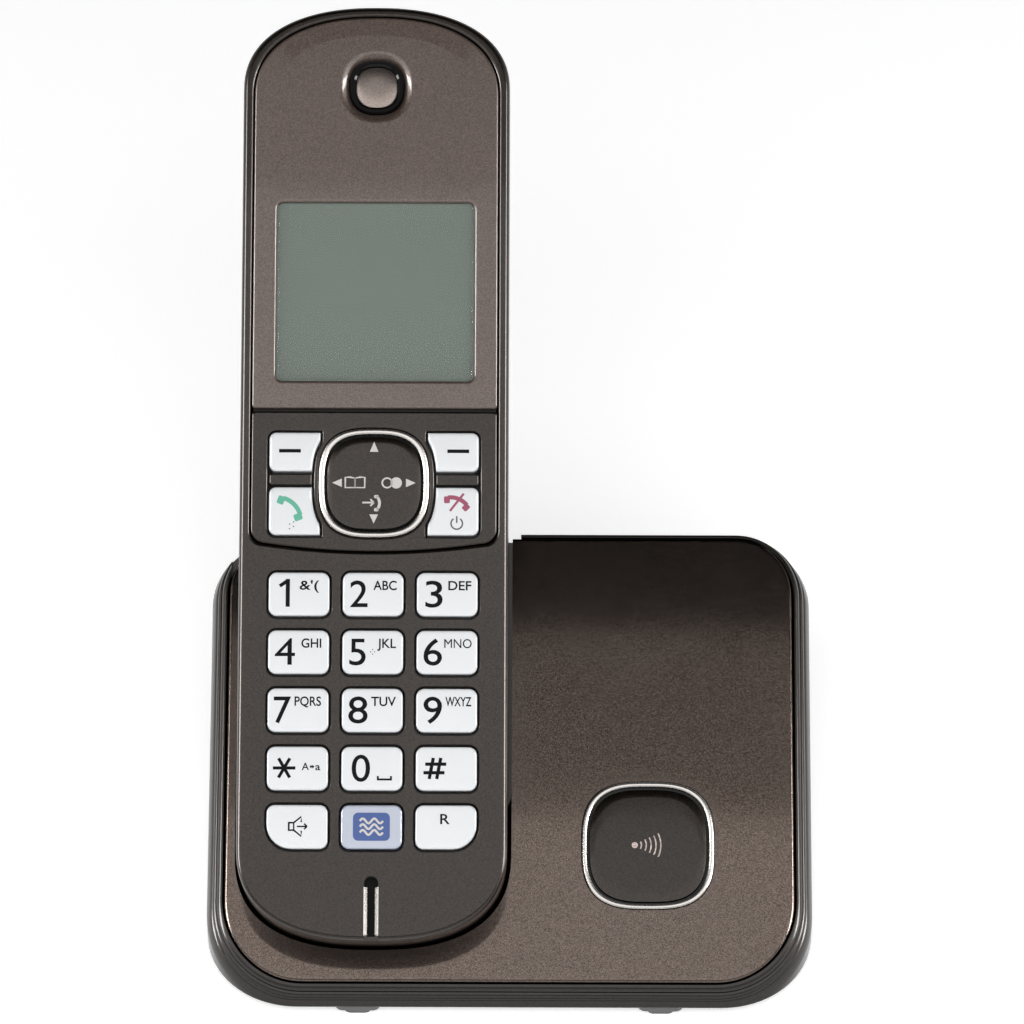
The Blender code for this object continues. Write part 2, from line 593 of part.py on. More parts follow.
def build_nav(at, m):
    """Panel, bright ring, rocking key on its pip, and the four keys round it."""
    panel = prism("nav_panel", nav_outline(), -PANEL_THICK, 0, at, m["brown"])
    inner = NAV_RING_HALF - NAV_RING_W
    key_half = inner - RING_GAP
    hole = key_half + 0.35 * MM
    groove = NAV_RING_HALF + SEAT_GAP
    cut(panel, cutter("nav_groove", [(squircle(0, NAV_MID, groove, groove, NAV_POWER), -RING_SINK - SEAT_GAP,
                                      2 * MM)], at))
    openings = [(squircle(0, NAV_MID, hole, hole, NAV_POWER), -4 * MM, 4 * MM)]
    openings += [(side_key_outline(side, low, high, KEY_GAP), -4 * MM, 4 * MM)
                 for _, side, low, high in side_keys()]
    cut(panel, cutter("nav_openings", openings, at))
    ring("nav_ring", 0, NAV_MID, NAV_RING_HALF, inner, NAV_POWER, at, m["silver"])
    loft("nav_key", [level(squircle(0, NAV_MID, key_half - i * MM, key_half - i * MM, NAV_POWER), z * MM)
                     for i, z in ((0, -2.4), (0, 0.0), (0.5, 0.3))], at, m["brown"])
    prism("nav_pivot", circle(0, NAV_MID, 1.5 * MM, 12), -MAT_TOP + SEAT_GAP, -2.4 * MM - SEAT_GAP, at,
          m["rubber"])
    for name, side, low, high in side_keys():
        prism(name, side_key_outline(side, low, high), -KEY_DEEP, KEY_PROUD - 0.1 * MM, at, m["pearl"])


def ring(name, cx, cy, outer, inner, power, at, material):
    """A bright ring with a bevelled top, standing a little proud of its groove."""
    mid = (outer + inner) / 2
    loops = []
    for half, z in ((outer, -RING_SINK), (outer, RING_PROUD - 0.25 * MM), (mid, RING_PROUD),
                    (inner, RING_PROUD - 0.25 * MM), (inner, -RING_SINK)):
        loops.append(level(squircle(cx, cy, half, half, power), z))
    bm = bmesh.new()
    rings = [[bm.verts.new(p) for p in loop] for loop in loops]
    for low, high in zip(rings, rings[1:] + rings[:1]):
        for i in range(len(low)):
            j = (i + 1) % len(low)
            bm.faces.new((low[i], low[j], high[j], high[i]))
    return finish_mesh(name, bm, at, material)


def build_keys(at, m):
    for name, x, y, radii in number_keys():
        small = [(r - KEY_BEVEL * 0.5) for r in radii]
        loops = [level(key_outline(x, y, radii), -KEY_DEEP), level(key_outline(x, y, radii), KEY_PROUD - KEY_BEVEL),
                 level(rounded(x - KEY_W / 2 + KEY_BEVEL, x + KEY_W / 2 - KEY_BEVEL, y - KEY_H / 2 + KEY_BEVEL,
                               y + KEY_H / 2 - KEY_BEVEL, small, 3), KEY_PROUD)]
        loft(f"key_{name}", loops, at, m["clear" if name == "wave" else "pearl"])


def build_boards(at, m):
    half = BOARD_HALF
    mat = prism("keypad_mat", rounded(-half + 0.5 * MM, half - 0.5 * MM, 13 * MM, NAV_HIGH - 1.5 * MM, 2 * MM, 2),
                -MAT_TOP - MAT_THICK, -MAT_TOP, at, m["rubber"])
    bm = bmesh.new()
    spots = [(x, y) for _, x, y, _ in number_keys()]
    spots += [(side * 14.3 * MM, (low + high) / 2) for _, side, low, high in side_keys()]
    for x, y in spots:
        add_loft(bm, [level(circle(x, y, 2.6 * MM, 8), -MAT_TOP - 0.2 * MM),
                      level(circle(x, y, 1.6 * MM, 8), -DOME_TOP)])
    combine(mat, hide(finish_mesh("mat_domes", bm, at, smooth=False)), 'UNION')
    prism("handset_board", rounded(-half, half, BOARD_LOW, BOARD_HIGH, 4 * MM, 3),
          -BOARD_TOP - BOARD_THICK, -BOARD_TOP, at, m["board"])
    prism("microphone", circle(0, MIC_MID - 1.0 * MM, 2.0 * MM, 16), -5.6 * MM, -FACE_WALL - SEAT_GAP, at,
          m["black"])
    prism("ringer_speaker", circle(0, RINGER_MID, RINGER_R), -BACK_DEPTH + SHELL_WALL + SEAT_GAP,
          -BACK_DEPTH + 7 * MM, at, m["black"])


# ================================ base ============================================

def build_base(base, plate, handset, m):
    edge = PLATE_ROUND
    loops = [wall_loop(PLATE_THICK), wall_loop(edge)]
    for inset, drop in ((edge * 0.3, edge * 0.3), (edge, 0.0)):
        loops.append([(x, y, plate_z(y) - drop) for x, y in base_outline(1, inset)])
    top = loft("base_top_shell", loops, base, m["brown"])

    seam = PLATE_THICK + SEAT_GAP
    low = FOOT_H + CASING_ROUND
    outer = [wall_loop(seam), wall_loop((seam + SIDE_FLARE) / 2), wall_loop(SIDE_FLARE)]
    for inset, z in ((0, low), (CASING_ROUND * 0.3, FOOT_H + CASING_ROUND * 0.3), (CASING_ROUND, FOOT_H)):
        outer.append(level(base_outline(0, inset), z))
    floor = FOOT_H + BASE_FLOOR
    inner = [wall_loop(seam, BASE_WALL), level(base_outline(0.1, BASE_WALL), floor)]
    bottom = cup("base_bottom_shell", outer, inner, base, m["brown"])

    build_pocket(top, bottom, base, handset)
    build_locator(top, base, plate, m)
    build_base_screws(top, bottom, base, m)
    build_contacts(top, base, m)
    build_sockets(bottom, base, m)
    build_feet(base, m)
    box("base_board", BASE_BOARD_X0, BASE_BOARD_X1, BASE_BOARD_Y0,
        rear_wall_y(BASE_BOARD_TOP) - BASE_WALL - 3 * MM, BASE_BOARD_Z, BASE_BOARD_TOP, base, m["board"])


def build_pocket(top, bottom, base, handset):
    """The tub under the plate that the handset lies in, open at the plate and at the back."""
    bounds_top = [(x, y, plate_z(y) - PLATE_THICK / 2) for x, y in base_outline(1, 0.6 * MM)]
    bounds_low = level(base_outline(0, 3 * MM), FOOT_H + BASE_FLOOR + SEAT_GAP)
    bounds = hide(loft("tub_bounds", [bounds_low, bounds_top], base))
    tub = hide(loft("tub_outside", pocket_loops(POCKET_GAP + TUB_WALL, TUB_WALL), handset))
    combine(tub, bounds, 'INTERSECT')
    pocket = hide(loft("pocket", pocket_loops(POCKET_GAP, 0), handset))
    room = hide(loft("tub_room", pocket_loops(POCKET_GAP + TUB_WALL + SEAT_GAP, TUB_WALL + SEAT_GAP), handset))
    combine(top, tub, 'UNION')
    cut(top, pocket)
    cut(bottom, room)


def build_locator(top, base, plate, m):
    """Handset locator: bright ring in a groove, and the button inside it over its switch."""
    x, y, power = LOCATOR_X, LOCATOR_UP, LOCATOR_POWER
    inner = LOCATOR_RING_HALF - LOCATOR_RING_W
    button = inner - RING_GAP
    groove = LOCATOR_RING_HALF + SEAT_GAP
    hole = button + 0.35 * MM
    outline = squircle(x, y, groove, groove, power)
    cut(top, cutter("locator_groove", [(outline, -RING_SINK - SEAT_GAP, 2 * MM)], plate))
    cut(top, cutter("locator_hole", [(squircle(x, y, hole, hole, power), -4 * MM, 4 * MM)], plate))
    ring("locator_ring", x, y, LOCATOR_RING_HALF, inner, power, plate, m["silver"])
    body = loft("locator_button", [level(squircle(x, y, button - i * MM, button - i * MM, power), z * MM)
                                   for i, z in ((0, -2.2), (0, -0.1), (0.5, BUTTON_PROUD / MM))], plate, m["brown"])
    stem = hide(prism("locator_stem", circle(x, y, 1.5 * MM, 12), -4.6 * MM, -2.0 * MM, plate))
    combine(body, stem, 'UNION')
    middle = PLATE_FRONT_IN + (y * math.cos(PLATE_SLOPE)) + 4.6 * MM * math.sin(PLATE_SLOPE)
    under = (4.6 * MM + 0.9 * MM) / math.cos(PLATE_SLOPE)
    outline = [(x - 3 * MM, middle - 3 * MM), (x + 3 * MM, middle - 3 * MM), (x + 3 * MM, middle + 3 * MM),
               (x - 3 * MM, middle + 3 * MM)]
    loft("locator_switch", [level(outline, BASE_BOARD_TOP + SEAT_GAP),
                            [(px, py, plate_z(py) - under) for px, py in outline]], base, m["black"])


def build_base_screws(top, bottom, base, m):
    """Bosses in both shells, and the screws that come up through the floor."""
    meet = 6.0 * MM
    head_low, head_top = FOOT_H + 0.5 * MM, FOOT_H + 2.2 * MM
    for i, (x, y) in enumerate(BASE_SCREWS, 1):
        post = hide(prism(f"base_post_{i}", circle(x, y, 3.6 * MM, 16), FOOT_H + 0.4 * MM, meet, base))
        combine(bottom, post, 'UNION')
        cut(bottom, cutter(f"base_screw_way_{i}", [
            (circle(x, y, SCREW_HEAD_R + SEAT_GAP, 16), FOOT_H - 1 * MM, head_top + SEAT_GAP)], base))
        cut(bottom, cutter(f"base_screw_hole_{i}", [(circle(x, y, SCREW_R + SEAT_GAP, 12), FOOT_H, meet + 1 * MM)],
                           base))
        boss_top = plate_z(y) - PLATE_THICK + 0.8 * MM
        boss = hide(prism(f"plate_boss_{i}", circle(x, y, 2.8 * MM, 16), meet + SEAT_GAP, boss_top, base))
        combine(top, boss, 'UNION')
        tip = plate_z(y) - PLATE_THICK - 2.5 * MM
        cut(top, cutter(f"plate_boss_hole_{i}", [(circle(x, y, SCREW_R + SEAT_GAP, 12), meet - 1 * MM,
                                                  tip + SEAT_GAP)], base))
        screw = prism(f"base_screw_{i}", circle(x, y, SCREW_HEAD_R, 16), head_low, head_top, base, m["steel"])
        shank_top = min(tip, meet + 12 * MM)
        combine(screw, hide(prism(f"base_shank_{i}", circle(x, y, SCREW_R, 12), head_top - 0.5 * MM, shank_top,
                                  base)), 'UNION')


def build_contacts(top, base, m):
    """Sprung contacts: a flat strip under the pocket floor with a hump through a slot in it."""
    strip_top = POCKET_Z - TUB_WALL - 0.6 * MM
    strip_low = strip_top - CONTACT_SHEET
    peak = HEEL_Z + 0.9 * MM - SEAT_GAP
    y = CONTACT_Y
    profile = [(y - 5 * MM, strip_low), (y + 5 * MM, strip_low), (y + 5 * MM, strip_top), (y + 1.6 * MM, strip_top),
               (y + 1.0 * MM, peak - 0.4 * MM), (y + 0.5 * MM, peak), (y - 0.5 * MM, peak),
               (y - 1.0 * MM, peak - 0.4 * MM), (y - 1.6 * MM, strip_top), (y - 5 * MM, strip_top)]
    for side, name in ((-1, "left"), (1, "right")):
        x = HANDSET_X + side * CONTACT_X
        half = CONTACT_W / 2
        loft(f"base_contact_{name}", [[(x + s, py, pz) for py, pz in profile] for s in (-half, half)],
             base, m["contact"])
        g = 0.35 * MM
        cut(top, cutter(f"contact_slot_{name}", [(rounded(x - half - g, x + half + g, y - 2.2 * MM, y + 2.2 * MM,
                        0.5 * MM, 2), POCKET_Z - 3 * MM, POCKET_Z + 3 * MM)], base))


def build_sockets(bottom, base, m):
    g = SEAT_GAP
    for name, middle, width, length, height in (
            ("line_socket", LINE_SOCKET_X, LINE_SOCKET_W, LINE_SOCKET_L, LINE_SOCKET_H),
            ("dc_socket", DC_SOCKET_X, DC_SOCKET_W, DC_SOCKET_L, DC_SOCKET_H)):
        x0, x1, z0 = middle - width / 2, middle + width / 2, BASE_BOARD_TOP + SEAT_GAP
        z1 = z0 + height
        y1 = rear_wall_y(z1) - SOCKET_SINK
        y0 = y1 - length
        cut(bottom, cutter(f"{name}_way", [([(x0 - g, y0 - g), (x1 + g, y0 - g), (x1 + g, BASE_D + 5 * MM),
                                            (x0 - g, BASE_D + 5 * MM)], z0 - g, z1 + g)], base))
        body = box(name, x0, x1, y0, y1, z0, z1, base, m["black"])
        cx, cz = (x0 + x1) / 2, (z0 + z1) / 2
        bm = bmesh.new()
        if name == "line_socket":
            w, h = LINE_PORT_W / 2, LINE_PORT_H / 2
            tongue = 3.0 * MM
            mouth = [(cx - w, cz - h), (cx + w, cz - h), (cx + w, cz + h), (cx + tongue, cz + h),
                     (cx + tongue, cz + h + 1.6 * MM), (cx - tongue, cz + h + 1.6 * MM), (cx - tongue, cz + h),
                     (cx - w, cz + h)]
            add_loft(bm, [[(px, py, pz) for px, pz in mouth] for py in (y1 - LINE_PORT_DEEP, y1 + 1 * MM)])
            cut(body, hide(finish_mesh("line_port", bm, base, smooth=False)))
        else:
            loops = [[(px, py, pz) for px, pz in circle(cx, cz, r, 12)]
                     for r, py in ((DC_PIN_R, y1 - DC_PORT_DEEP), (DC_PORT_R, y1 - DC_PORT_DEEP),
                                   (DC_PORT_R, y1 + 1 * MM), (DC_PIN_R, y1 + 1 * MM))]
            rings = [[bm.verts.new(p) for p in loop] for loop in loops]
            for low, high in zip(rings, rings[1:] + rings[:1]):
                for i in range(len(low)):
                    j = (i + 1) % len(low)
                    bm.faces.new((low[i], low[j], high[j], high[i]))
            cut(body, hide(finish_mesh("dc_port", bm, base, smooth=False)))


def build_feet(base, m):
    """Oblong feet, a narrow pad under a wide boss; the front ones show under the casing."""
    radii = (FOOT_CORNER,) * 4
    for row, y in (("front", FOOT_FRONT_IN), ("rear", BASE_D - FOOT_REAR_IN - FOOT_L)):
        for side, name in ((-1, "left"), (1, "right")):
            x = side * FOOT_X
            pad = rounded(x - FOOT_PAD_HALF, x + FOOT_PAD_HALF, y + FOOT_PAD_IN, y + FOOT_L - FOOT_PAD_IN, radii)
            boss = rounded(x - FOOT_BOSS_HALF, x + FOOT_BOSS_HALF, y, y + FOOT_L, radii)
            loops = [level(pad, 0), level(pad, FOOT_PAD_H), level(boss, FOOT_PAD_H),
                     level(boss, FOOT_H - SEAT_GAP)]
            loft(f"foot_{row}_{name}", loops, base, m["rubber"])


def overall_depth():
    """Front of the casing to the rearmost point of the docked handset."""
    points = [p for loop in back_loops(0, 0) for p in loop]
    return max(HEEL_Y + y * math.cos(HANDSET_SLOPE) - z * math.sin(HANDSET_SLOPE) for _, y, z in points)


def main():
    clear_scene()
    m = {"brown": finish("brown_casing", (0.075, 0.058, 0.05), 0.38, 0.35),
         "mocha": finish("mocha_panel", (0.16, 0.125, 0.105), 0.3, 0.5),
         "silver": finish("bright_ring", (0.8, 0.8, 0.8), 0.15, 1.0),
         "pearl": finish("pearl_key", (0.8, 0.81, 0.83), 0.35),
         "clear": finish("clear_acrylic", (0.85, 0.88, 0.92), 0.05),
         "lcd": finish("lcd_glass", (0.24, 0.28, 0.24), 0.2),
         "rubber": finish("grey_rubber", (0.12, 0.12, 0.12), 0.8),
         "board": finish("circuit_board", (0.03, 0.16, 0.08), 0.5),
         "steel": finish("screw_steel", (0.6, 0.6, 0.6), 0.35, 1.0),
         "contact": finish("contact_metal", (0.75, 0.7, 0.6), 0.25, 1.0),
         "cell": finish("cell_sleeve", (0.1, 0.3, 0.5), 0.35),
         "black": finish("black_plastic", (0.02, 0.02, 0.02), 0.5)}
    base = frame("base_frame", location=(0, -overall_depth() / 2, 0))
    plate = frame("plate_frame", base, (0, PLATE_FRONT_IN, PLATE_FRONT_Z), PLATE_SLOPE)
    handset = frame("handset_frame", base, (HANDSET_X, HEEL_Y, FACE_Z), HANDSET_SLOPE)
    build_base(base, plate, handset, m)
    build_handset(handset, base, m)


main()
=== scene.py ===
"""Looks of a cordless telephone in its charging base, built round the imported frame.

Shapes are worked out in millimetres in one of three frames and put into metres as they are made:
  BASE     x across, y from the front edge to the back, z up from the table
  PLATE    the base's sloping top: x across, y up the slope, z out of the plate
  HANDSET  x across, y from the heel to the crown, z out of the face
"""
import json
import math

import bmesh
import bpy
import numpy as np
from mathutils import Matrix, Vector
from mathutils.geometry import tessellate_polygon


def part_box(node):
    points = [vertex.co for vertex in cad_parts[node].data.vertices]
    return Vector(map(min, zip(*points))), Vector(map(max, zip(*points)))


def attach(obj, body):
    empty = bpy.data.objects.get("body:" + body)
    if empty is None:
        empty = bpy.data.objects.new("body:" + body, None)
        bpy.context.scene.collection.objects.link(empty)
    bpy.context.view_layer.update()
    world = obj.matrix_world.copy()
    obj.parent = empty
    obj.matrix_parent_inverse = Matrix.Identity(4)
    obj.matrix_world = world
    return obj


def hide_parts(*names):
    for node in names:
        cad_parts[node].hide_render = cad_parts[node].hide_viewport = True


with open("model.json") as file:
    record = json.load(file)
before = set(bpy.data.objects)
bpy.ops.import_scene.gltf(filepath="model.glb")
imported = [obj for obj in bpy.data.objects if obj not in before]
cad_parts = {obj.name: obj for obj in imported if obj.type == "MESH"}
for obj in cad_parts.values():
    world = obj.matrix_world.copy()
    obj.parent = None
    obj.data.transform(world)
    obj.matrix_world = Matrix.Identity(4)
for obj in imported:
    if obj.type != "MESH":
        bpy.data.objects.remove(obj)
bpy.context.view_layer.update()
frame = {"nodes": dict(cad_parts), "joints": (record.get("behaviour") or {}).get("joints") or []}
MM = 0.001

# ---- sizes shared with the part, in millimetres --------------------------------------------
BASE_W, BASE_D, FOOT_H = 106.0, 88.0, 1.9
FRONT_R, REAR_R = 16.0, 12.0
PLATE_FRONT_Z, PLATE_FRONT_IN, PLATE_SIDE_IN = 6.6, 1.0, 2.1
PLATE_LENGTH, CORNER_LESS = 84.0, 1.0
GAP = 0.3

HANDSET_W, HANDSET_L, HANDSET_X = 47.0, 165.8, -23.9
SPLIT, BACK, COVER_BACK = 12.0, 23.4, 25.2
CROWN_ROUND, CROWN_POWER = 15.0, 2.3
HEEL_ROUND, HEEL_POWER = 17.0, 2.5
END_SHORTEN, HEEL_SOFT, HEEL_Z = 0.35, 0.8, 7.1
PANEL_IN, PANEL_LOW, PANEL_THICK = 2.0, 93.5, 1.2
WINDOW_W, WINDOW_H, WINDOW_MID, WINDOW_R = 34.8, 32.0, 114.4, 1.2
EAR_MID, EAR_HALF, EAR_CAP = 151.2, 5.0, 3.6
NAV_LOW, NAV_HIGH, NAV_SAG, NAV_R = 69.5, 93.0, 1.4, 2.6
NAV_MID, NAV_RING, NAV_RING_W, NAV_POWER = 80.2, 9.65, 1.0, 2.9
SIDE_OUT, SIDE_IN, SIDE_TO_RING, SIDE_R = 18.3, 9.4, 1.2, 1.2
SOFT_LOW, SOFT_HIGH, CALL_LOW, CALL_HIGH = 82.3, 89.1, 71.0, 79.4
KEY_W, KEY_H, KEY_R, KEY_BIG_R = 10.6, 7.6, 1.4, 4.2
KEY_COLUMN, KEY_ROW, KEY_FIRST = 12.9, 10.2, 19.7
KEY_PROUD, KEY_DEEP, KEY_GAP = 0.7, 2.7, 0.3
KEYS = (("speaker", "wave", "recall"), ("star", "0", "hash"),
        ("7", "8", "9"), ("4", "5", "6"), ("1", "2", "3"))
COVER_LOW, COVER_HIGH, COVER_HALF = 26.0, 84.0, 16.0
LOCATOR_X, LOCATOR_UP = 24.2, 25.8
LOCATOR_RING, LOCATOR_RING_W, LOCATOR_POWER = 11.6, 0.9, 3.0
CONTACT_X, CONTACT_Y = 10.0, 17.0
FOOT_X, FOOT_L = 26.4, 8.0
FOOT_FRONT, FOOT_REAR = 0.1, BASE_D - 3.0 - FOOT_L

# ---- frames ------------------------------------------------------------------------------------


def joint(name):
    return next(j for j in frame["joints"] if j["name"] == name)


def axes(normal):
    """Rotation with z along the normal, x across the object and y up the slope."""
    z = np.array(normal, float)
    x = np.array((1.0, 0.0, 0.0))
    return np.stack((x, np.cross(z, x), z), 1)


def place(rotation, origin):
    """4x4 matrix from millimetres in a frame to metres in the row frame."""
    m = np.eye(4)
    m[:3, :3] = rotation * MM
    m[:3, 3] = origin
    return m


FRONT_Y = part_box("base_bottom_shell")[0].y
BASE = place(np.eye(3), (0, FRONT_Y, 0))
plate_normal = -np.array(joint("locator_press")["axis"])
PLATE = place(axes(plate_normal), (0, FRONT_Y + PLATE_FRONT_IN * MM, PLATE_FRONT_Z * MM))
face_normal = np.array(joint("handset_lift")["axis"])
NAV_PIVOT_DEPTH = 3.2
face_axes = axes(face_normal)
HANDSET = place(face_axes, np.array(joint("nav_rock_up_down")["pos_m"])
                - face_axes @ np.array((0, NAV_MID, -NAV_PIVOT_DEPTH)) * MM)
PLATE_SLOPE = math.atan2(-plate_normal[1], plate_normal[2])
HANDSET_SLOPE = math.atan2(-face_normal[1], face_normal[2])
FACE_Z = HANDSET[2, 3] / MM
PLATE_RUN = PLATE_LENGTH * math.cos(PLATE_SLOPE)
PLATE_REAR_IN = BASE_D - PLATE_FRONT_IN - PLATE_RUN

# ---- outlines: arrays of (x, y) points, counter-clockwise, as functions of how far they grow -----


def rounded(x0, x1, y0, y1, radii, steps=8):
    """Rectangle with a quarter circle on each corner, from the low left corner round."""
    r = np.broadcast_to(np.asarray(radii, float), 4)
    cx = np.array((x0 + r[0], x1 - r[1], x1 - r[2], x0 + r[3]))
    cy = np.array((y0 + r[0], y0 + r[1], y1 - r[2], y1 - r[3]))
    a = np.radians(np.array((180, 270, 0, 90))[:, None] + np.linspace(0, 90, steps + 1))
    points = np.stack((cx[:, None] + r[:, None] * np.cos(a), cy[:, None] + r[:, None] * np.sin(a)), -1)
    return points.reshape(-1, 2)


def to_power(value, power):
    return np.sign(value) * np.abs(value) ** power


def squircle(cx, cy, half, power=2.0, steps=96):
    """Superellipse |x/h|^p + |y/h|^p = 1 about (cx, cy)."""
    a = np.linspace(0, 2 * np.pi, steps, endpoint=False)
    x, y = half * to_power(np.cos(a), 2 / power), half * to_power(np.sin(a), 2 / power)
    return np.stack((cx + x, cy + y), -1)


def end_arc(half, middle, depth, power, start, steps=56):
    """Half a superellipse from one side to the other: start 0 is the crown, 180 the heel."""
    a = np.radians(start + np.linspace(0, 180, steps + 1))
    x, y = half * to_power(np.cos(a), 2 / power), depth * to_power(np.sin(a), 2 / power)
    return np.stack((x, middle + y), -1)


def handset_outline(side=0.0, heel=None, crown=None):
    """The handset seen on its face, moved in by side, heel and crown on its three edges."""
    heel = side if heel is None else heel
    crown = side if crown is None else crown
    half = HANDSET_W / 2 - side
    heel_depth, crown_depth = HEEL_ROUND - END_SHORTEN * heel, CROWN_ROUND - END_SHORTEN * crown
    high = end_arc(half, HANDSET_L - crown - crown_depth, crown_depth, CROWN_POWER, 0)
    low = end_arc(half, heel + heel_depth, heel_depth, HEEL_POWER, 180)
    return np.concatenate((high, low))


def crown_arc(grow):
    inset = PANEL_IN - grow
    depth = CROWN_ROUND - END_SHORTEN * inset
    return end_arc(HANDSET_W / 2 - inset, HANDSET_L - inset - depth, depth, CROWN_POWER, 0)


def panel_outline(grow=0.0):
    """Display panel: the crown's outline moved in, cut straight across below."""
    half, low = HANDSET_W / 2 - PANEL_IN + grow, PANEL_LOW - grow
    foot = rounded(-half, half, low, low + 9, (0.5, 0.5, 1, 1), 4)[:10]
    return np.concatenate((crown_arc(grow), foot))


def nav_foot(grow):
    """Lower edge of the navigation panel, from left to right, sagging in the middle."""
    half = HANDSET_W / 2 - PANEL_IN + grow
    corners = rounded(-half, half, NAV_LOW - grow, NAV_HIGH, (NAV_R, NAV_R, 1, 1), 10)[:22]
    span = half - NAV_R
    x = np.linspace(-0.94, 0.94, 25) * span
    sag = np.stack((x, NAV_LOW - grow - NAV_SAG * (1 - (x / span) ** 2)), -1)
    return np.concatenate((corners[:11], sag, corners[11:]))


def nav_outline(grow=0.0):
    half = HANDSET_W / 2 - PANEL_IN + grow
    top = rounded(-half, half, NAV_LOW, NAV_HIGH + grow, (1, 1, 0.5, 0.5), 4)[10:]
    return np.concatenate((nav_foot(grow), top))


def face_opening(grow=0.0):
    """Both panels' outlines as one opening in the front shell."""
    return np.concatenate((crown_arc(grow), nav_foot(grow)))


def side_key_outline(side, low, high, grow=0.0, steps=14, radius=SIDE_R):
    """A rounded key whose inner edge follows the bright ring at a constant distance."""
    outer, r = SIDE_OUT + grow, radius + grow
    low, high = low - grow, high + grow
    reach = NAV_RING + SIDE_TO_RING - grow
    y = np.linspace(high, low, steps)
    rise = np.minimum(np.abs(y - NAV_MID) / reach, 1.0)
    x = np.maximum(reach * (1 - rise ** NAV_POWER) ** (1 / NAV_POWER), SIDE_IN - grow)
    right = rounded(0, outer, low, high, (1, r, r, 1), 6)[7:21]
    points = np.concatenate((right, np.stack((x, y), -1)))
    return points if side > 0 else points[::-1] * (-1, 1)


def key_spots():
    """Name, middle and corner radii of each number key; the lowest outer corners are round."""
    for row, names in enumerate(KEYS):
        for column, name in enumerate(names):
            radii = [KEY_R] * 4
            if row == 0 and column != 1:
                radii[0 if column == 0 else 1] = KEY_BIG_R
            yield name, (column - 1) * KEY_COLUMN, KEY_FIRST + row * KEY_ROW, radii


def key_outline(x, y, radii, grow=0.0):
    return rounded(x - KEY_W / 2 - grow, x + KEY_W / 2 + grow, y - KEY_H / 2 - grow, y + KEY_H / 2 + grow,
                   np.array(radii) + grow, 7)


def base_outline(share, inset=0.0):
    """The base seen from above: share 0 is the casing's foot, share 1 the plate."""
    half = BASE_W / 2 - PLATE_SIDE_IN * share - inset
    less = CORNER_LESS * share + inset
    radii = np.array((FRONT_R, FRONT_R, REAR_R, REAR_R)) - less
    front, rear = PLATE_FRONT_IN * share + inset, BASE_D - PLATE_REAR_IN * share - inset
    return rounded(-half, half, front, rear, radii, 18)


def plate_z(y):
    """Height of the plate's plane over the table."""
    return PLATE_FRONT_Z + (y - PLATE_FRONT_IN) * math.tan(PLATE_SLOPE)


SIDE_FLARE, CASING_LOW = PLATE_FRONT_Z - FOOT_H, FOOT_H + 1.2


def wall(drop, inset=0.0):
    """A line round the casing's side, a vertical drop under the plate's plane, moved in by inset.

    The sides reach their full width within SIDE_FLARE; front and rear keep one slope.
    """
    top, foot = base_outline(1, inset), base_outline(0, inset)
    top_z = plate_z(top[:, 1])
    fall = np.minimum(drop, top_z - CASING_LOW)
    share = np.stack((np.minimum(fall / SIDE_FLARE, 1.0), fall / (top_z - FOOT_H)), -1)
    return np.column_stack((top + (foot - top) * share, top_z - fall))


# ---- profiles: (grow, z) pairs that carry an outline up or down ------------------------------------


def at(outline, z):
    return np.concatenate((outline, np.full((len(outline), 1), float(z))), 1)


def fillet(radius, top=0.0, steps=5, inside=False, high=None):
    """Quarter ellipse from the flat top to the side, with a flat support point before it.

    grow falls short of the edge by radius * (1 - sin a) and z by high * (1 - cos a); for a
    hole the growth is turned round, so the edge opens towards the top.
    """
    high = radius if high is None else high
    a = np.linspace(0, np.pi / 2, steps + 1)
    grow = -radius * (1 - np.sin(a))
    z = top - high * (1 - np.cos(a))
    grow, z = np.append(-radius * 1.15, grow), np.append(top, z)
    return np.stack((-grow if inside else grow, z), -1)


def carry(outline, profile):
    """Outlines at each (grow, z) of a profile, as one stack of loops."""
    return np.stack([at(outline(g), z) for g, z in profile])


# ---- meshes -------------------------------------------------------------------------------------


def band_faces(rows, columns, start=0):
    """Quads between neighbouring loops of a stack, closed round."""
    r, c = np.meshgrid(np.arange(rows - 1), np.arange(columns), indexing="ij")
    low, high, nxt = start + r * columns + c, start + (r + 1) * columns + c, (c + 1) % columns
    quads = np.stack((low, start + r * columns + nxt, start + (r + 1) * columns + nxt, high), -1)
    return quads.reshape(-1, 4).tolist()


def to_object(name, points, faces, place_in, material, smooth_angle=38):
    """A mesh object from points in a frame's millimetres, with its place in its mesh."""
    points = np.asarray(points, float)
    world = points @ place_in[:3, :3].T + place_in[:3, 3]
    mesh = bpy.data.meshes.new(name)
    mesh.from_pydata(world.tolist(), [], faces)
    bm = bmesh.new()
    bm.from_mesh(mesh)
    bmesh.ops.remove_doubles(bm, verts=bm.verts, dist=1e-7)
    bmesh.ops.recalc_face_normals(bm, faces=bm.faces)
    bm.to_mesh(mesh)
    bm.free()
    mesh.shade_smooth()
    mesh.set_sharp_from_angle(angle=math.radians(smooth_angle))
    mesh.materials.append(material)
    obj = bpy.data.objects.new(name, mesh)
    bpy.context.scene.collection.objects.link(obj)
    return obj


def lathe(stack):
    """Points and faces of a stack of loops with both ends closed flat."""
    rows, columns = stack.shape[:2]
    faces = band_faces(rows, columns)
    faces += [list(range(columns)), list(range((rows - 1) * columns, rows * columns))]
    return stack.reshape(-1, 3), faces


def hoop(stack):
    """Points and faces of a stack of loops whose last loop joins the first, as in a ring."""
    rows, columns = stack.shape[:2]
    closed = np.concatenate((stack, stack[:1]))
    return closed.reshape(-1, 3), band_faces(rows + 1, columns)


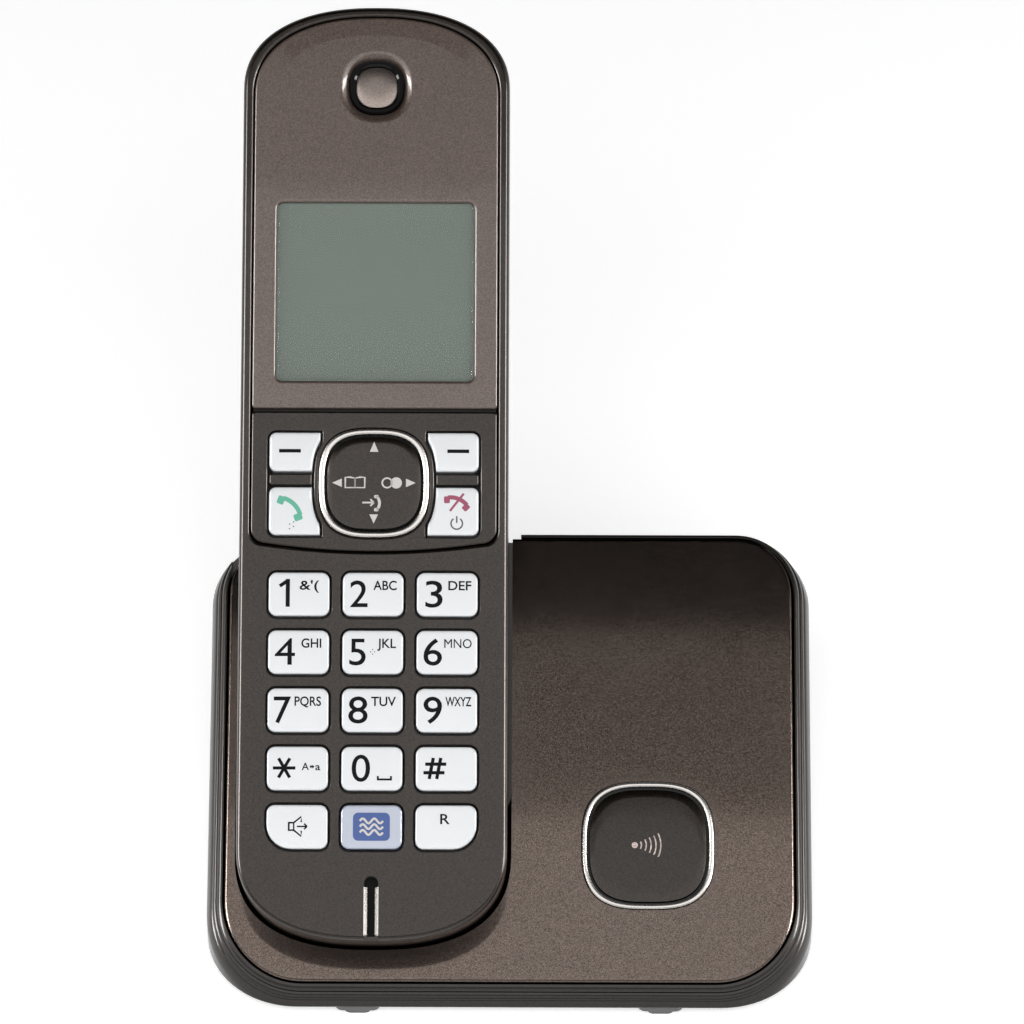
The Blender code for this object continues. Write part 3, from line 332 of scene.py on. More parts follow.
def slab(outer, holes):
    """A closed solid with openings: each stack runs from the top cap's edge to the bottom cap's.

    The side of each stack is a band; top and bottom are flat caps, filled between the
    first loops and between the last loops.
    """
    points, faces, tops, bottoms, start = [], [], [], [], 0
    for stack in [outer] + list(holes):
        rows, columns = stack.shape[:2]
        points.append(stack.reshape(-1, 3))
        faces += band_faces(rows, columns, start)
        tops.append(start + np.arange(columns))
        bottoms.append(start + (rows - 1) * columns + np.arange(columns))
        start += rows * columns
    points = np.concatenate(points)
    for edge in (tops, bottoms):
        index = np.concatenate(edge)
        flat = [[Vector((p[0], p[1], 0)) for p in points[i]] for i in edge]
        faces += [index[list(t)].tolist() for t in tessellate_polygon(flat)]
    return points, faces


def dome(outline, side, crown, rings=7):
    """A solid with a crowned top: side stack first, then loops drawn in to the middle.

    The loop at share s is the outline scaled by s about its middle, at the height that
    crown(x, y) gives, so the top is one smooth surface.
    """
    middle = (outline.min(0) + outline.max(0)) / 2
    loops = [at(o, z) for o, z in side]
    for s in np.linspace(1, 0.06, rings):
        p = middle + (outline - middle) * s
        loops.append(np.concatenate((p, crown(p[:, 0], p[:, 1])[:, None]), 1))
    return lathe(np.stack(loops))


def piece(name, shape, place_in, material, body, nodes=(), smooth_angle=38):
    """Make a finished piece, hide the CAD nodes it stands for and let it ride on its body."""
    obj = to_object(name, *shape, place_in, material, smooth_angle)
    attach(obj, body)
    if nodes:
        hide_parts(*nodes)
    return obj


def prism(outline, z0, z1):
    return lathe(np.stack((at(outline, z0), at(outline, z1))))


def joined(shapes):
    """Several closed shapes as one mesh."""
    points, faces, start = [], [], 0
    for p, f in shapes:
        points.append(p)
        faces += [[i + start for i in face] for face in f]
        start += len(p)
    return np.concatenate(points), faces


def carve(obj, shapes, place_in, operation="DIFFERENCE"):
    """Cut closed shapes out of a piece, or keep what lies in them, as its mesh."""
    points, faces = joined(shapes)
    tool = to_object("carving_tool", points, faces, place_in, obj.data.materials[0])
    cut = obj.modifiers.new("carve", "BOOLEAN")
    cut.object, cut.operation, cut.solver = tool, operation, "EXACT"
    bpy.context.view_layer.update()
    depsgraph = bpy.context.evaluated_depsgraph_get()
    mesh = bpy.data.meshes.new_from_object(obj.evaluated_get(depsgraph))
    obj.modifiers.clear()
    old, obj.data = obj.data, mesh
    mesh.name = old.name
    mesh.shade_smooth()
    mesh.set_sharp_from_angle(angle=math.radians(30))
    bpy.data.objects.remove(tool, do_unlink=True)
    bpy.data.meshes.remove(old)
    return obj

# ---- finishes -----------------------------------------------------------------------------------


def linear(*srgb):
    """A colour given as three 0-255 values, in linear light."""
    c = np.array(srgb) / 255
    return (*np.where(c <= 0.04045, c / 12.92, ((c + 0.055) / 1.055) ** 2.4), 1.0)


def add(tree, kind, links=(), **values):
    """A shader node with inputs set by name, and links given as (input, from-socket)."""
    node = tree.nodes.new("ShaderNode" + kind)
    for key, value in values.items():
        if hasattr(node, key):
            setattr(node, key, value)
        else:
            node.inputs[key.replace("_", " ")].default_value = value
    for target, source in links:
        tree.links.new(source, node.inputs[target])
    return node


def maths(tree, operation, *values):
    """Output of a Math node whose inputs are sockets or plain numbers."""
    node = tree.nodes.new("ShaderNodeMath")
    node.operation = operation
    for socket, value in zip(node.inputs, values):
        if isinstance(value, (int, float)):
            socket.default_value = value
        else:
            tree.links.new(value, socket)
    return node.outputs[0]


def effect_group(name, controls):
    """An empty effect: place, colour and its controls in; colour, roughness and height out."""
    tree = bpy.data.node_groups.new(name, "ShaderNodeTree")
    tree.interface.new_socket(name="Vector", in_out="INPUT", socket_type="NodeSocketVector")
    tree.interface.new_socket(name="Colour", in_out="INPUT", socket_type="NodeSocketColor")
    for label, value in controls.items():
        socket = tree.interface.new_socket(name=label, in_out="INPUT", socket_type="NodeSocketFloat")
        socket.default_value = value
    for label, kind in (("Colour", "Color"), ("Roughness", "Float"), ("Height", "Float")):
        tree.interface.new_socket(name=label, in_out="OUTPUT", socket_type="NodeSocket" + kind)
    return tree, tree.nodes.new("NodeGroupInput").outputs


def put_out(tree, colour, gain, roughness, height):
    """The effect's results: the colour times a gain, a roughness and a height."""
    shade = add(tree, "VectorMath", [(0, colour), ("Scale", gain)], operation="SCALE")
    result = tree.nodes.new("NodeGroupOutput").inputs
    for label, source in (("Colour", shade.outputs[0]), ("Roughness", roughness), ("Height", height)):
        tree.links.new(source, result[label])
    return tree


DULL_FLAKE, CLOUDS_PER_M, PATCHES_PER_M, ROUGH_CHANGE = -0.75, 140.0, 90.0, 0.12


def flake_group():
    """Metal flakes in paint: each Voronoi cell has its own brightness, and noise mottles the whole."""
    tree, given = effect_group("flake_paint", {"Flakes per mm": 4.0, "Flake strength": 0.5, "Mottle": 0.08,
                                               "Roughness": 0.35})
    scale = maths(tree, "MULTIPLY", given["Flakes per mm"], 1 / MM)
    cells = add(tree, "TexVoronoi", [("Vector", given["Vector"]), ("Scale", scale)])
    tone = add(tree, "SeparateColor", [("Color", cells.outputs["Color"])])
    bright = add(tree, "MapRange", [("Value", tone.outputs["Red"])], From_Min=0.0, From_Max=1.0,
                 To_Min=DULL_FLAKE, To_Max=1.0)
    sharp = maths(tree, "MULTIPLY", bright.outputs[0], given["Flake strength"])
    cloud = add(tree, "TexNoise", [("Vector", given["Vector"])], Scale=CLOUDS_PER_M, Detail=3.0)
    mottle = maths(tree, "MULTIPLY", maths(tree, "SUBTRACT", cloud.outputs["Fac"], 0.5), given["Mottle"])
    gain = maths(tree, "ADD", maths(tree, "ADD", sharp, mottle), 1.0)
    rough = maths(tree, "ADD", mottle, given["Roughness"])
    return put_out(tree, given["Colour"], gain, rough, tone.outputs["Green"])


def grain_group():
    """Fine moulded grain: two noises of different size change tone, roughness and height a little."""
    tree, given = effect_group("moulded_grain", {"Grains per mm": 3.0, "Tone change": 0.06, "Roughness": 0.4})
    scale = maths(tree, "MULTIPLY", given["Grains per mm"], 1 / MM)
    fine = add(tree, "TexNoise", [("Vector", given["Vector"]), ("Scale", scale)], Detail=2.0).outputs["Fac"]
    broad = add(tree, "TexNoise", [("Vector", given["Vector"])], Scale=PATCHES_PER_M,
                Detail=2.0).outputs["Fac"]
    drift = maths(tree, "SUBTRACT", maths(tree, "ADD", fine, broad), 1.0)
    gain = maths(tree, "MULTIPLY_ADD", drift, given["Tone change"], 1.0)
    rough = maths(tree, "MULTIPLY_ADD", drift, ROUGH_CHANGE, given["Roughness"])
    return put_out(tree, given["Colour"], gain, rough, fine)


FLAKE, GRAIN = flake_group(), grain_group()


def shader(name, effect, settings, bump=0.0, **constants):
    """A Principled material whose colour, roughness and bump come from one of the effects."""
    material = bpy.data.materials.new(name)
    material.use_nodes = True
    tree = material.node_tree
    principled = tree.nodes["Principled BSDF"]
    where = add(tree, "TexCoord")
    pattern = tree.nodes.new("ShaderNodeGroup")
    pattern.node_tree = effect
    tree.links.new(where.outputs["Object"], pattern.inputs["Vector"])
    for key, value in settings.items():
        pattern.inputs[key].default_value = value
    tree.links.new(pattern.outputs["Colour"], principled.inputs["Base Color"])
    tree.links.new(pattern.outputs["Roughness"], principled.inputs["Roughness"])
    if bump:
        relief = add(tree, "Bump", [("Height", pattern.outputs["Height"])], Strength=bump, Distance=0.02 * MM)
        tree.links.new(relief.outputs["Normal"], principled.inputs["Normal"])
    for key, value in constants.items():
        principled.inputs[key.replace("_", " ")].default_value = value
    return material


def paint(name, colour, roughness=0.33, metallic=0.6, flakes=5.5, strength=0.6, **more):
    settings = {"Colour": linear(*colour), "Roughness": roughness, "Flakes per mm": flakes,
                "Flake strength": strength}
    return shader(name, FLAKE, settings, bump=0.25, Metallic=metallic, **more)


def moulded(name, colour, roughness=0.4, grains=3.0, tone=0.06, bump=0.15, **more):
    settings = {"Colour": linear(*colour), "Roughness": roughness, "Grains per mm": grains,
                "Tone change": tone}
    return shader(name, GRAIN, settings, bump=bump, **more)


CASING = paint("brown_flake_paint", (31, 25, 20), roughness=0.3, metallic=0.85, strength=0.9, flakes=7.0,
               Coat_Weight=0.45, Coat_Roughness=0.06)
PLATE_PAINT = paint("brown_flake_plate", (82, 73, 68), roughness=0.07, metallic=1.0, flakes=8.0)
MOCHA = paint("mocha_flake_paint", (78, 65, 58), roughness=0.4, metallic=0.35, strength=0.6, flakes=7.0,
              Coat_Weight=0.55, Coat_Roughness=0.05)
UNDERSIDE = paint("dark_brown_casing", (32, 28, 25), roughness=0.3, metallic=0.8, strength=0.35,
                  Coat_Weight=0.4, Coat_Roughness=0.05)
EAR_SATIN = paint("satin_ear_cap", (128, 118, 112), roughness=0.3, metallic=0.9, strength=0.2)
DARK = moulded("black_plastic", (18, 17, 17), roughness=0.45, Specular_IOR_Level=0.3)
GLOSS_BLACK = moulded("black_gloss", (7, 6, 6), roughness=0.08, tone=0.02, bump=0.0, Specular_IOR_Level=0.12)
# Near-black and dull: painted shade, laid in the microphone groove and its hole.
PAINTED_SHADE_BLACK = moulded("black_pit", (4, 4, 4), roughness=0.7, tone=0.02, bump=0.0, Specular_IOR_Level=0.1)
SILVER = moulded("satin_chrome", (180, 176, 172), roughness=0.27, tone=0.03, bump=0.05, Metallic=1.0)
PEARL = moulded("pearl_white", (218, 220, 222), roughness=0.35, tone=0.03, bump=0.03, Coat_Weight=0.25,
                Coat_Roughness=0.1)
CLEAR = moulded("clear_acrylic", (90, 92, 92), roughness=0.04, tone=0.0, bump=0.0, Alpha=0.12, IOR=1.46)
CLEAR_KEY = moulded("clear_key", (200, 206, 222), roughness=0.06, tone=0.02, bump=0.0, Coat_Weight=0.8,
                    Transmission_Weight=0.3, IOR=1.46)
BLUE = moulded("blue_print", (48, 78, 142), roughness=0.4, tone=0.05, bump=0.0)
WHITE_INK = moulded("white_ink", (196, 192, 187), roughness=0.5, tone=0.04, bump=0.0)
DARK_INK = moulded("dark_ink", (24, 24, 28), roughness=0.6, tone=0.1, bump=0.0, Specular_IOR_Level=0.03)
GREY_INK = moulded("grey_ink", (70, 68, 70), roughness=0.5, tone=0.1, bump=0.0)
GREEN_INK = moulded("green_ink", (84, 172, 144), roughness=0.5, tone=0.08, bump=0.0)
RED_INK = moulded("crimson_ink", (150, 62, 90), roughness=0.5, tone=0.08, bump=0.0)
TONE_INK = paint("tone_print", (172, 158, 152), roughness=0.3, metallic=0.7)
DISPLAY = moulded("grey_green_display", (130, 141, 132), roughness=0.4, grains=6.0, tone=0.015, bump=0.0,
                  Specular_IOR_Level=0.2)
RUBBER = moulded("grey_rubber", (84, 84, 84), roughness=0.7, tone=0.1, bump=0.3)
BOARD = moulded("green_circuit_board", (34, 82, 52), roughness=0.45, grains=0.8, tone=0.4)
STEEL = moulded("screw_steel", (150, 150, 152), roughness=0.3, Metallic=1.0)
CONTACT = moulded("nickel_contact", (205, 198, 180), roughness=0.22, Metallic=1.0)
SLEEVE = moulded("cell_sleeve", (70, 120, 90), roughness=0.35)

# ---- handset: shells and panels -----------------------------------------------------------------

RIM_ROUND, RIM_HIGH = 0.85, 1.3
FACE_WALL, SHELL_WALL = 2.0, 1.8


def build_front_shell():
    """Face and side wall with a rounded rim, one opening under the panels and one for each key."""
    side = fillet(RIM_ROUND, high=RIM_HIGH, steps=8)
    inner_z = (-SPLIT + GAP / 2, -SPLIT + GAP / 2, -FACE_WALL)
    inner = np.stack((np.array((0, -SHELL_WALL, -SHELL_WALL)), inner_z), -1)
    outer = carry(lambda g: handset_outline(-g), np.concatenate((side, inner)))
    lip = np.concatenate((fillet(0.45, steps=5, inside=True), ((0, -FACE_WALL),)))
    holes = [carry(lambda g: face_opening(0.15 + g), lip)]
    key_lip = np.concatenate((fillet(0.34, steps=5, inside=True, high=0.3), ((0, -FACE_WALL),)))
    for _, x, y, radii in key_spots():
        holes.append(carry(lambda g: key_outline(x, y, radii, KEY_GAP + g), key_lip))
    shell = piece("handset_front", slab(outer, holes), HANDSET, CASING, "handset",
                  ["handset_front_shell"])
    slot = rounded(-MIC_W / 2, MIC_W / 2, -5, MIC_TOP, (0.1, 0.1, MIC_W / 2.01, MIC_W / 2.01), 6)
    carve(shell, [prism(slot, -MIC_DEEP, 3)], HANDSET)


MIC_W, MIC_TOP, MIC_DEEP, MIC_HOLE_LOW = 2.6, 11.2, 0.9, 9.3
LINER_W, LINER_FOOT = 0.62, 0.75


def build_mic_liner():
    """Bright bevelled strips down both sides of the microphone groove; the groove's floor and the hole at its
    top are near-black pieces, painted shade.
    """
    strips = []
    for side in (-1, 1):
        edge, inner = side * (MIC_W / 2 - 0.02), side * (MIC_W / 2 - LINER_W)
        section = np.array(((edge, -MIC_DEEP), (inner, -MIC_DEEP), (inner, -0.55),
                            (inner + side * 0.2, -0.35), (edge - side * 0.12, 0.0), (edge, -0.02)))
        y = np.array((LINER_FOOT, LINER_FOOT + 0.3, MIC_HOLE_LOW))
        drop = np.array((0.5, 0.0, 0.0))
        strips.append(np.stack([np.stack((section[:, 0], np.full(6, v), section[:, 1] - d), -1)
                                for v, d in zip(y, drop)]))
    piece("mic_liner", joined([lathe(s) for s in strips]), HANDSET, SILVER, "handset")
    # The groove's floor and the hole are near-black sheets: painted shade standing in for the depth of the
    # groove and the hole.
    floor = rounded(-MIC_W / 2 + LINER_W, MIC_W / 2 - LINER_W, LINER_FOOT, MIC_HOLE_LOW, 0.1, 2)
    hole = rounded(-MIC_W / 2 + 0.1, MIC_W / 2 - 0.1, MIC_HOLE_LOW, MIC_TOP - 0.1, (0.2, 0.2, 1.1, 1.1), 6)
    floors = [prism(floor, -MIC_DEEP, -MIC_DEEP + 0.12), prism(hole, -MIC_DEEP, -MIC_DEEP + 0.1)]
    piece("mic_floor", joined(floors), HANDSET, PAINTED_SHADE_BLACK, "handset")


def build_panel_tray():
    """The ledge under both panels, so that no gap between pieces shows the inside."""
    top, foot = -PANEL_THICK - 0.25, -3.3
    edge = np.array(((-0.25, top), (-0.25, foot)))
    half_w, half_h = WINDOW_W / 2 + 0.9, WINDOW_H / 2 + 0.9
    window = rounded(-half_w, half_w, WINDOW_MID - half_h, WINDOW_MID + half_h, 1.2)
    ear = squircle(0, EAR_MID, EAR_HALF, 2)
    well = rounded(-19.2, 19.2, CALL_LOW - 0.8, SOFT_HIGH + 0.8, 1.0)
    holes = [np.stack((at(o, top), at(o, foot))) for o in (window, ear, well)]
    outer = carry(face_opening, edge)
    piece("panel_tray", slab(outer, holes), HANDSET, DARK, "handset")


EAR_DISH, EAR_DISH_DEEP = 6.3, 0.75


def build_display_panel():
    """Panel whose long sides fall away a little, with a soft window frame and a dish round the ear piece."""
    edge = fillet(0.4, top=-0.12, steps=5)
    shoulder = np.array(((-3.4, 0.0), (-3.0, -0.004)))
    outer = carry(panel_outline, np.concatenate((shoulder, edge, ((0, -PANEL_THICK),))))
    half_w, half_h = WINDOW_W / 2, WINDOW_H / 2

    def window(g):
        return rounded(-half_w - g, half_w + g, WINDOW_MID - half_h - g, WINDOW_MID + half_h + g,
                       WINDOW_R + g)

    def ear(g):
        return squircle(0, EAR_MID, EAR_HALF + g, 2.2 if g > 0.3 else 2.4)

    frame_lip = np.concatenate((fillet(0.55, steps=5, inside=True, high=0.35), ((0, -PANEL_THICK),)))
    t = np.linspace(0, 1, 6)
    bowl = np.stack(((EAR_DISH - EAR_HALF) * (1 - t), -EAR_DISH_DEEP * (0.67 * t + 0.33 * t ** 2)), -1)
    bowl = np.concatenate((((EAR_DISH - EAR_HALF + 0.3, 0.0),), bowl, ((0, -PANEL_THICK),)))
    piece("display_cover", slab(outer, [carry(window, frame_lip), carry(ear, bowl)]), HANDSET, MOCHA,
          "handset", ["display_panel"])
    lens = carry(lambda g: window(g - GAP), np.concatenate((fillet(0.25, top=-0.1, steps=3), ((0, -1.0),))))
    piece("window_lens", lathe(lens), HANDSET, CLEAR, "handset", ["lcd_lens"])
    well = [squircle(0, EAR_MID, h, 2.4) for h in (4.85, 4.85, 4.6, 4.1, 3.75, 3.75)]
    well = np.stack([at(o, z) for o, z in zip(well, (-1.9, -0.35, 0.02, 0.02, -0.3, -1.9))])
    piece("ear_ring", hoop(well), HANDSET, GLOSS_BLACK, "handset")
    cap = squircle(0, EAR_MID, EAR_CAP, 2.5)
    side = [(squircle(0, EAR_MID, EAR_CAP - 0.3, 2.5), -1.85), (squircle(0, EAR_MID, EAR_CAP, 2.5), -1.2),
            (squircle(0, EAR_MID, EAR_CAP, 2.5), -0.7)]

    def crown(x, y):
        r = np.hypot(x, y - EAR_MID) / EAR_CAP
        return -0.35 - 0.3 * np.clip(r, 0, 1.2) ** 4

    piece("ear_button", dome(cap, side, crown, 9), HANDSET, EAR_SATIN, "handset", ["ear_cap"])


BRIDGE_LOW, BRIDGE_HIGH = CALL_HIGH + GAP + 0.1, SOFT_LOW - GAP - 0.1


def side_keys():
    return (("soft_key_left", -1, SOFT_LOW, SOFT_HIGH), ("soft_key_right", 1, SOFT_LOW, SOFT_HIGH),
            ("talk_key", -1, CALL_LOW, CALL_HIGH), ("off_key", 1, CALL_LOW, CALL_HIGH))


def build_nav_panel():
    """Panel with one opening a side for two keys and the bar between them, and a round-square well."""
    outer = carry(nav_outline, np.concatenate((fillet(0.4, steps=5), ((0, -PANEL_THICK),))))
    lip = np.concatenate((fillet(0.34, steps=5, inside=True, high=0.3), ((0, -PANEL_THICK),)))
    holes = [carry(lambda g: side_key_outline(s, CALL_LOW, SOFT_HIGH, KEY_GAP + g, 40), lip) for s in (-1, 1)]
    holes.append(carry(lambda g: squircle(0, NAV_MID, NAV_RING + 0.08 + g, NAV_POWER), lip))
    piece("nav_cover", slab(outer, holes), HANDSET, CASING, "handset", ["nav_panel"])
    bar_edge = np.concatenate((fillet(0.3, top=-0.05, steps=4), ((0, -PANEL_THICK),)))
    bars = []
    for side in (-1, 1):
        def bar(g):
            return side_key_outline(side, BRIDGE_LOW, BRIDGE_HIGH, g, 8, 0.45)
        bars.append(lathe(carry(bar, bar_edge)))
    piece("key_bars", joined(bars), HANDSET, CASING, "handset")


def bright_ring(name, cx, cy, outer, width, power, place_in, body, node):
    """A chrome hoop with a softly rounded top standing proud of its groove."""
    a = np.linspace(0, np.pi, 9)
    half = outer - width / 2 + width / 2 * np.cos(a)
    z = 0.1 + 0.35 * np.sin(a)
    halves = np.concatenate(((outer,), half, (outer - width,)))
    heights = np.concatenate(((-0.5,), z, (-0.5,)))
    loops = np.stack([at(squircle(cx, cy, h, power, 128), v) for h, v in zip(halves, heights)])
    piece(name, hoop(loops), place_in, SILVER, body, [node])


DISC_GAP, DISC_RISE, DISC_FALL = 0.5, 0.34, 0.3


def disc_crown(cx, cy, half, power, sharpness):
    """Flat round-square top that falls off at its edge with a high power of the distance."""
    def crown(x, y):
        p = (np.abs((x - cx) / half) ** power + np.abs((y - cy) / half) ** power) ** (1 / power)
        return DISC_RISE - DISC_FALL * np.clip(p, 0, 1.1) ** sharpness
    return crown


nav_crown = disc_crown(0, NAV_MID, NAV_RING - NAV_RING_W - DISC_GAP, NAV_POWER, 18)


def ring_and_disc(label, middle, ring, ring_w, power, place_in, owner, key, deep, crown):
    """A bright ring on its owner and the crowned key inside it."""
    bright_ring(label + "_hoop", *middle, ring, ring_w, power, place_in, owner, label + "_ring")
    outline = squircle(*middle, ring - ring_w - DISC_GAP, power, 128)
    piece(label + "_disc", dome(outline, [(outline, -deep), (outline, -0.2)], crown, 14), place_in, CASING,
          key, [key])


def build_nav_key():
    ring_and_disc("nav", (0, NAV_MID), NAV_RING, NAV_RING_W, NAV_POWER, HANDSET, "handset", "nav_key", 2.4,
                  nav_crown)


# ---- keys and their legends -------------------------------------------------------------------------

KEY_RISE, SIDE_PROUD = 0.16, KEY_PROUD - 0.1
SHOULDER = 0.35                # radius of a key's upper edge


def key_crown(x0, y0, hx, hy, top):
    """Pillow over a key: highest in the middle, falling with the square of x and of y."""
    def crown(x, y):
        u, v = np.clip((x - x0) / hx, -1, 1), np.clip((y - y0) / hy, -1, 1)
        return top - KEY_RISE + KEY_RISE * (1 - u ** 2) * (1 - v ** 2)
    return crown


def number_crown(x, y, lift=0.0):
    return key_crown(x, y, KEY_W / 2, KEY_H / 2, KEY_PROUD + lift)


def side_crown(side, low, high):
    return key_crown(side * (SIDE_OUT + SIDE_IN) / 2, (low + high) / 2, 6, (high - low) / 2, SIDE_PROUD)


def pillow(name, outline, crown, edge_z, material, body):
    """A key: straight side, small rounded shoulder, then the crowned top."""
    side = [(outline(0), -KEY_DEEP), (outline(0), edge_z - SHOULDER)]
    a = np.radians((25, 50, 72))
    side += [(outline(-SHOULDER * (1 - math.cos(v))), edge_z - SHOULDER * (1 - math.sin(v))) for v in a]
    piece(name + "_cap", dome(outline(-SHOULDER), side, crown, 9), HANDSET, material, body, [name])


def build_keys():
    for name, x, y, radii in key_spots():
        crown = number_crown(x, y)
        clear = name == "wave"
        pillow("key_" + name, lambda g: key_outline(x, y, radii, g), crown, KEY_PROUD - KEY_RISE,
               CLEAR_KEY if clear else PEARL, "key_" + name)
    for name, side, low, high in side_keys():
        pillow(name, lambda g: side_key_outline(side, low, high, g), side_crown(side, low, high),
               SIDE_PROUD - KEY_RISE, PEARL, name)


def glyphs(text, height, left, right, y, weight):
    """Flat outline letters as (points, faces), with their capitals' height and their span given."""
    curve = bpy.data.curves.new("glyphs", "FONT")
    curve.body, curve.size, curve.offset, curve.resolution_u = text, 1.0, weight, 5
    obj = bpy.data.objects.new("glyphs", curve)
    mesh = obj.to_mesh()
    points = np.zeros(len(mesh.vertices) * 3)
    mesh.vertices.foreach_get("co", points)
    points = points.reshape(-1, 3)[:, :2]
    faces = [list(p.vertices) for p in mesh.polygons]
    obj.to_mesh_clear()
    bpy.data.objects.remove(obj)
    bpy.data.curves.remove(curve)
    low, high = points[:, 0].min(), points[:, 0].max()
    points = (points - (low, 0)) * ((right - left) / (high - low), height / CAPITAL_SHARE)
    return points + (left, y), faces


CAPITAL_SHARE = 0.729          # capital height of the built-in font at size 1


def stroke(path, width, closed=False):
    """A line of constant width: each path point moved half a width to both sides."""
    path = np.asarray(path, float)
    if closed:
        step = np.roll(path, -1, 0) - np.roll(path, 1, 0)
    else:
        step = np.gradient(path, axis=0)
    normal = np.stack((-step[:, 1], step[:, 0]), -1)
    normal /= np.linalg.norm(normal, axis=1)[:, None]
    points = np.concatenate((path + normal * width / 2, path - normal * width / 2))
    n = len(path)
    i = np.arange(n if closed else n - 1)
    j = (i + 1) % n
    return points, np.stack((i + n, j + n, j, i), -1).tolist()


def patch(outline):
    return np.asarray(outline, float), [list(range(len(outline)))]


def arc(cx, cy, r, start, stop, steps=16):
    a = np.radians(np.linspace(start, stop, steps))
    return np.stack((cx + r * np.cos(a), cy + r * np.sin(a)), -1)


PRINT_UP, PRINT_IN, CUT_STEP = 0.02, 0.03, 0.9


def printed(name, shapes, crown, material, body, place_in=HANDSET):
    """Ink on a crowned surface: flat shapes cut into a grid, laid on it and closed as a thin skin."""
    points, faces = joined(shapes)
    bm = bmesh.new()
    verts = [bm.verts.new((x, y, 0)) for x, y in points]
    for face in faces:
        bm.faces.new([verts[i] for i in face])
    low, high = points.min(0), points.max(0)
    for axis in (0, 1):
        normal = Vector((1 - axis, axis, 0))
        for v in np.arange(low[axis] + CUT_STEP, high[axis], CUT_STEP):
            geometry = bm.verts[:] + bm.edges[:] + bm.faces[:]
            bmesh.ops.bisect_plane(bm, geom=geometry, plane_co=normal * v, plane_no=normal, dist=1e-5)
    bmesh.ops.triangulate(bm, faces=bm.faces)
    bm.verts.index_update()
    flat = np.array([v.co[:2] for v in bm.verts])
    tris = np.array([[v.index for v in f.verts] for f in bm.faces])
    bm.free()
    p = flat[tris]
    turned = np.cross(p[:, 1] - p[:, 0], p[:, 2] - p[:, 0]) < 0
    tris[turned] = tris[turned][:, ::-1]
    count = len(flat)
    z = crown(flat[:, 0], flat[:, 1])
    skin = np.concatenate((np.column_stack((flat, z + PRINT_UP)), np.column_stack((flat, z - PRINT_IN))))
    edges = np.concatenate((tris[:, (0, 1)], tris[:, (1, 2)], tris[:, (2, 0)]))
    code, back = edges[:, 0] * count + edges[:, 1], edges[:, 1] * count + edges[:, 0]
    rim = edges[~np.isin(code, back)]
    faces = tris.tolist() + (tris[:, ::-1] + count).tolist()
    faces += np.stack((rim[:, 1], rim[:, 0], rim[:, 0] + count, rim[:, 1] + count), -1).tolist()
    piece(name, (skin, faces), place_in, material, body)

# The legend of each number key from its middle: (characters, capital height, left, right, baseline, weight).
DIGIT, LETTER, DIGIT_LOW, LETTER_LOW = 4.9, 1.68, -2.3, 0.72


def digit(text, left, right):
    return text, DIGIT, left, right, DIGIT_LOW, 0.0 if text == "4" else 0.004


def letters(text, left, right):
    return text, LETTER, left, right, LETTER_LOW, 0.0 if "M" in text else 0.014


LEGENDS = {
    "1": [letters("&'(", 0.1, 3.5)],
    "2": [digit("2", -4.0, -0.95), letters("ABC", 0.05, 4.1)],
    "3": [digit("3", -3.8, -0.8), letters("DEF", 0.2, 4.2)],
    "4": [digit("4", -4.1, -0.6), letters("GHI", 0.5, 3.95)],
    "5": [digit("5", -4.05, -1.2), letters("JKL", 0.8, 4.05)],
    "6": [digit("6", -4.05, -0.85), letters("MNO", -0.45, 4.3)],
    "7": [digit("7", -4.2, -1.2), letters("PQRS", -0.6, 4.0)],
    "8": [digit("8", -4.15, -0.8), letters("TUV", -0.2, 4.1)],
    "9": [digit("9", -4.0, -0.8), letters("WXYZ", -0.2, 4.3)],
    "0": [digit("0", -3.5, -0.3)],
    "star": [("A", 1.34, 0.75, 2.0, -0.35, 0.01), ("a", 1.34, 3.1, 3.95, -0.35, 0.01)],
    "hash": [],
    "recall": [("R", 1.85, -1.0, 0.65, 0.5, 0.01)],
    "speaker": [],
}


def spokes(cx, cy, r, width, count, turn):
    """Strokes through a middle, turned evenly, as in an asterisk."""
    for i in range(count):
        a = math.radians(turn + 180 * i / count)
        d = np.array((math.cos(a), math.sin(a))) * r
        yield stroke(np.linspace(-d, d, 3) + (cx, cy), width)


def line(width, *points):
    return stroke(np.array(points, float), width)


def arrow(x0, x1, y, width, head):
    """A line with an open head at its right end."""
    s = 1 if x1 > x0 else -1
    return [line(width, (x0, y), (x1, y)), line(width, (x1 - s * head, y + head), (x1, y)),
            line(width, (x1 - s * head, y - head), (x1, y))]


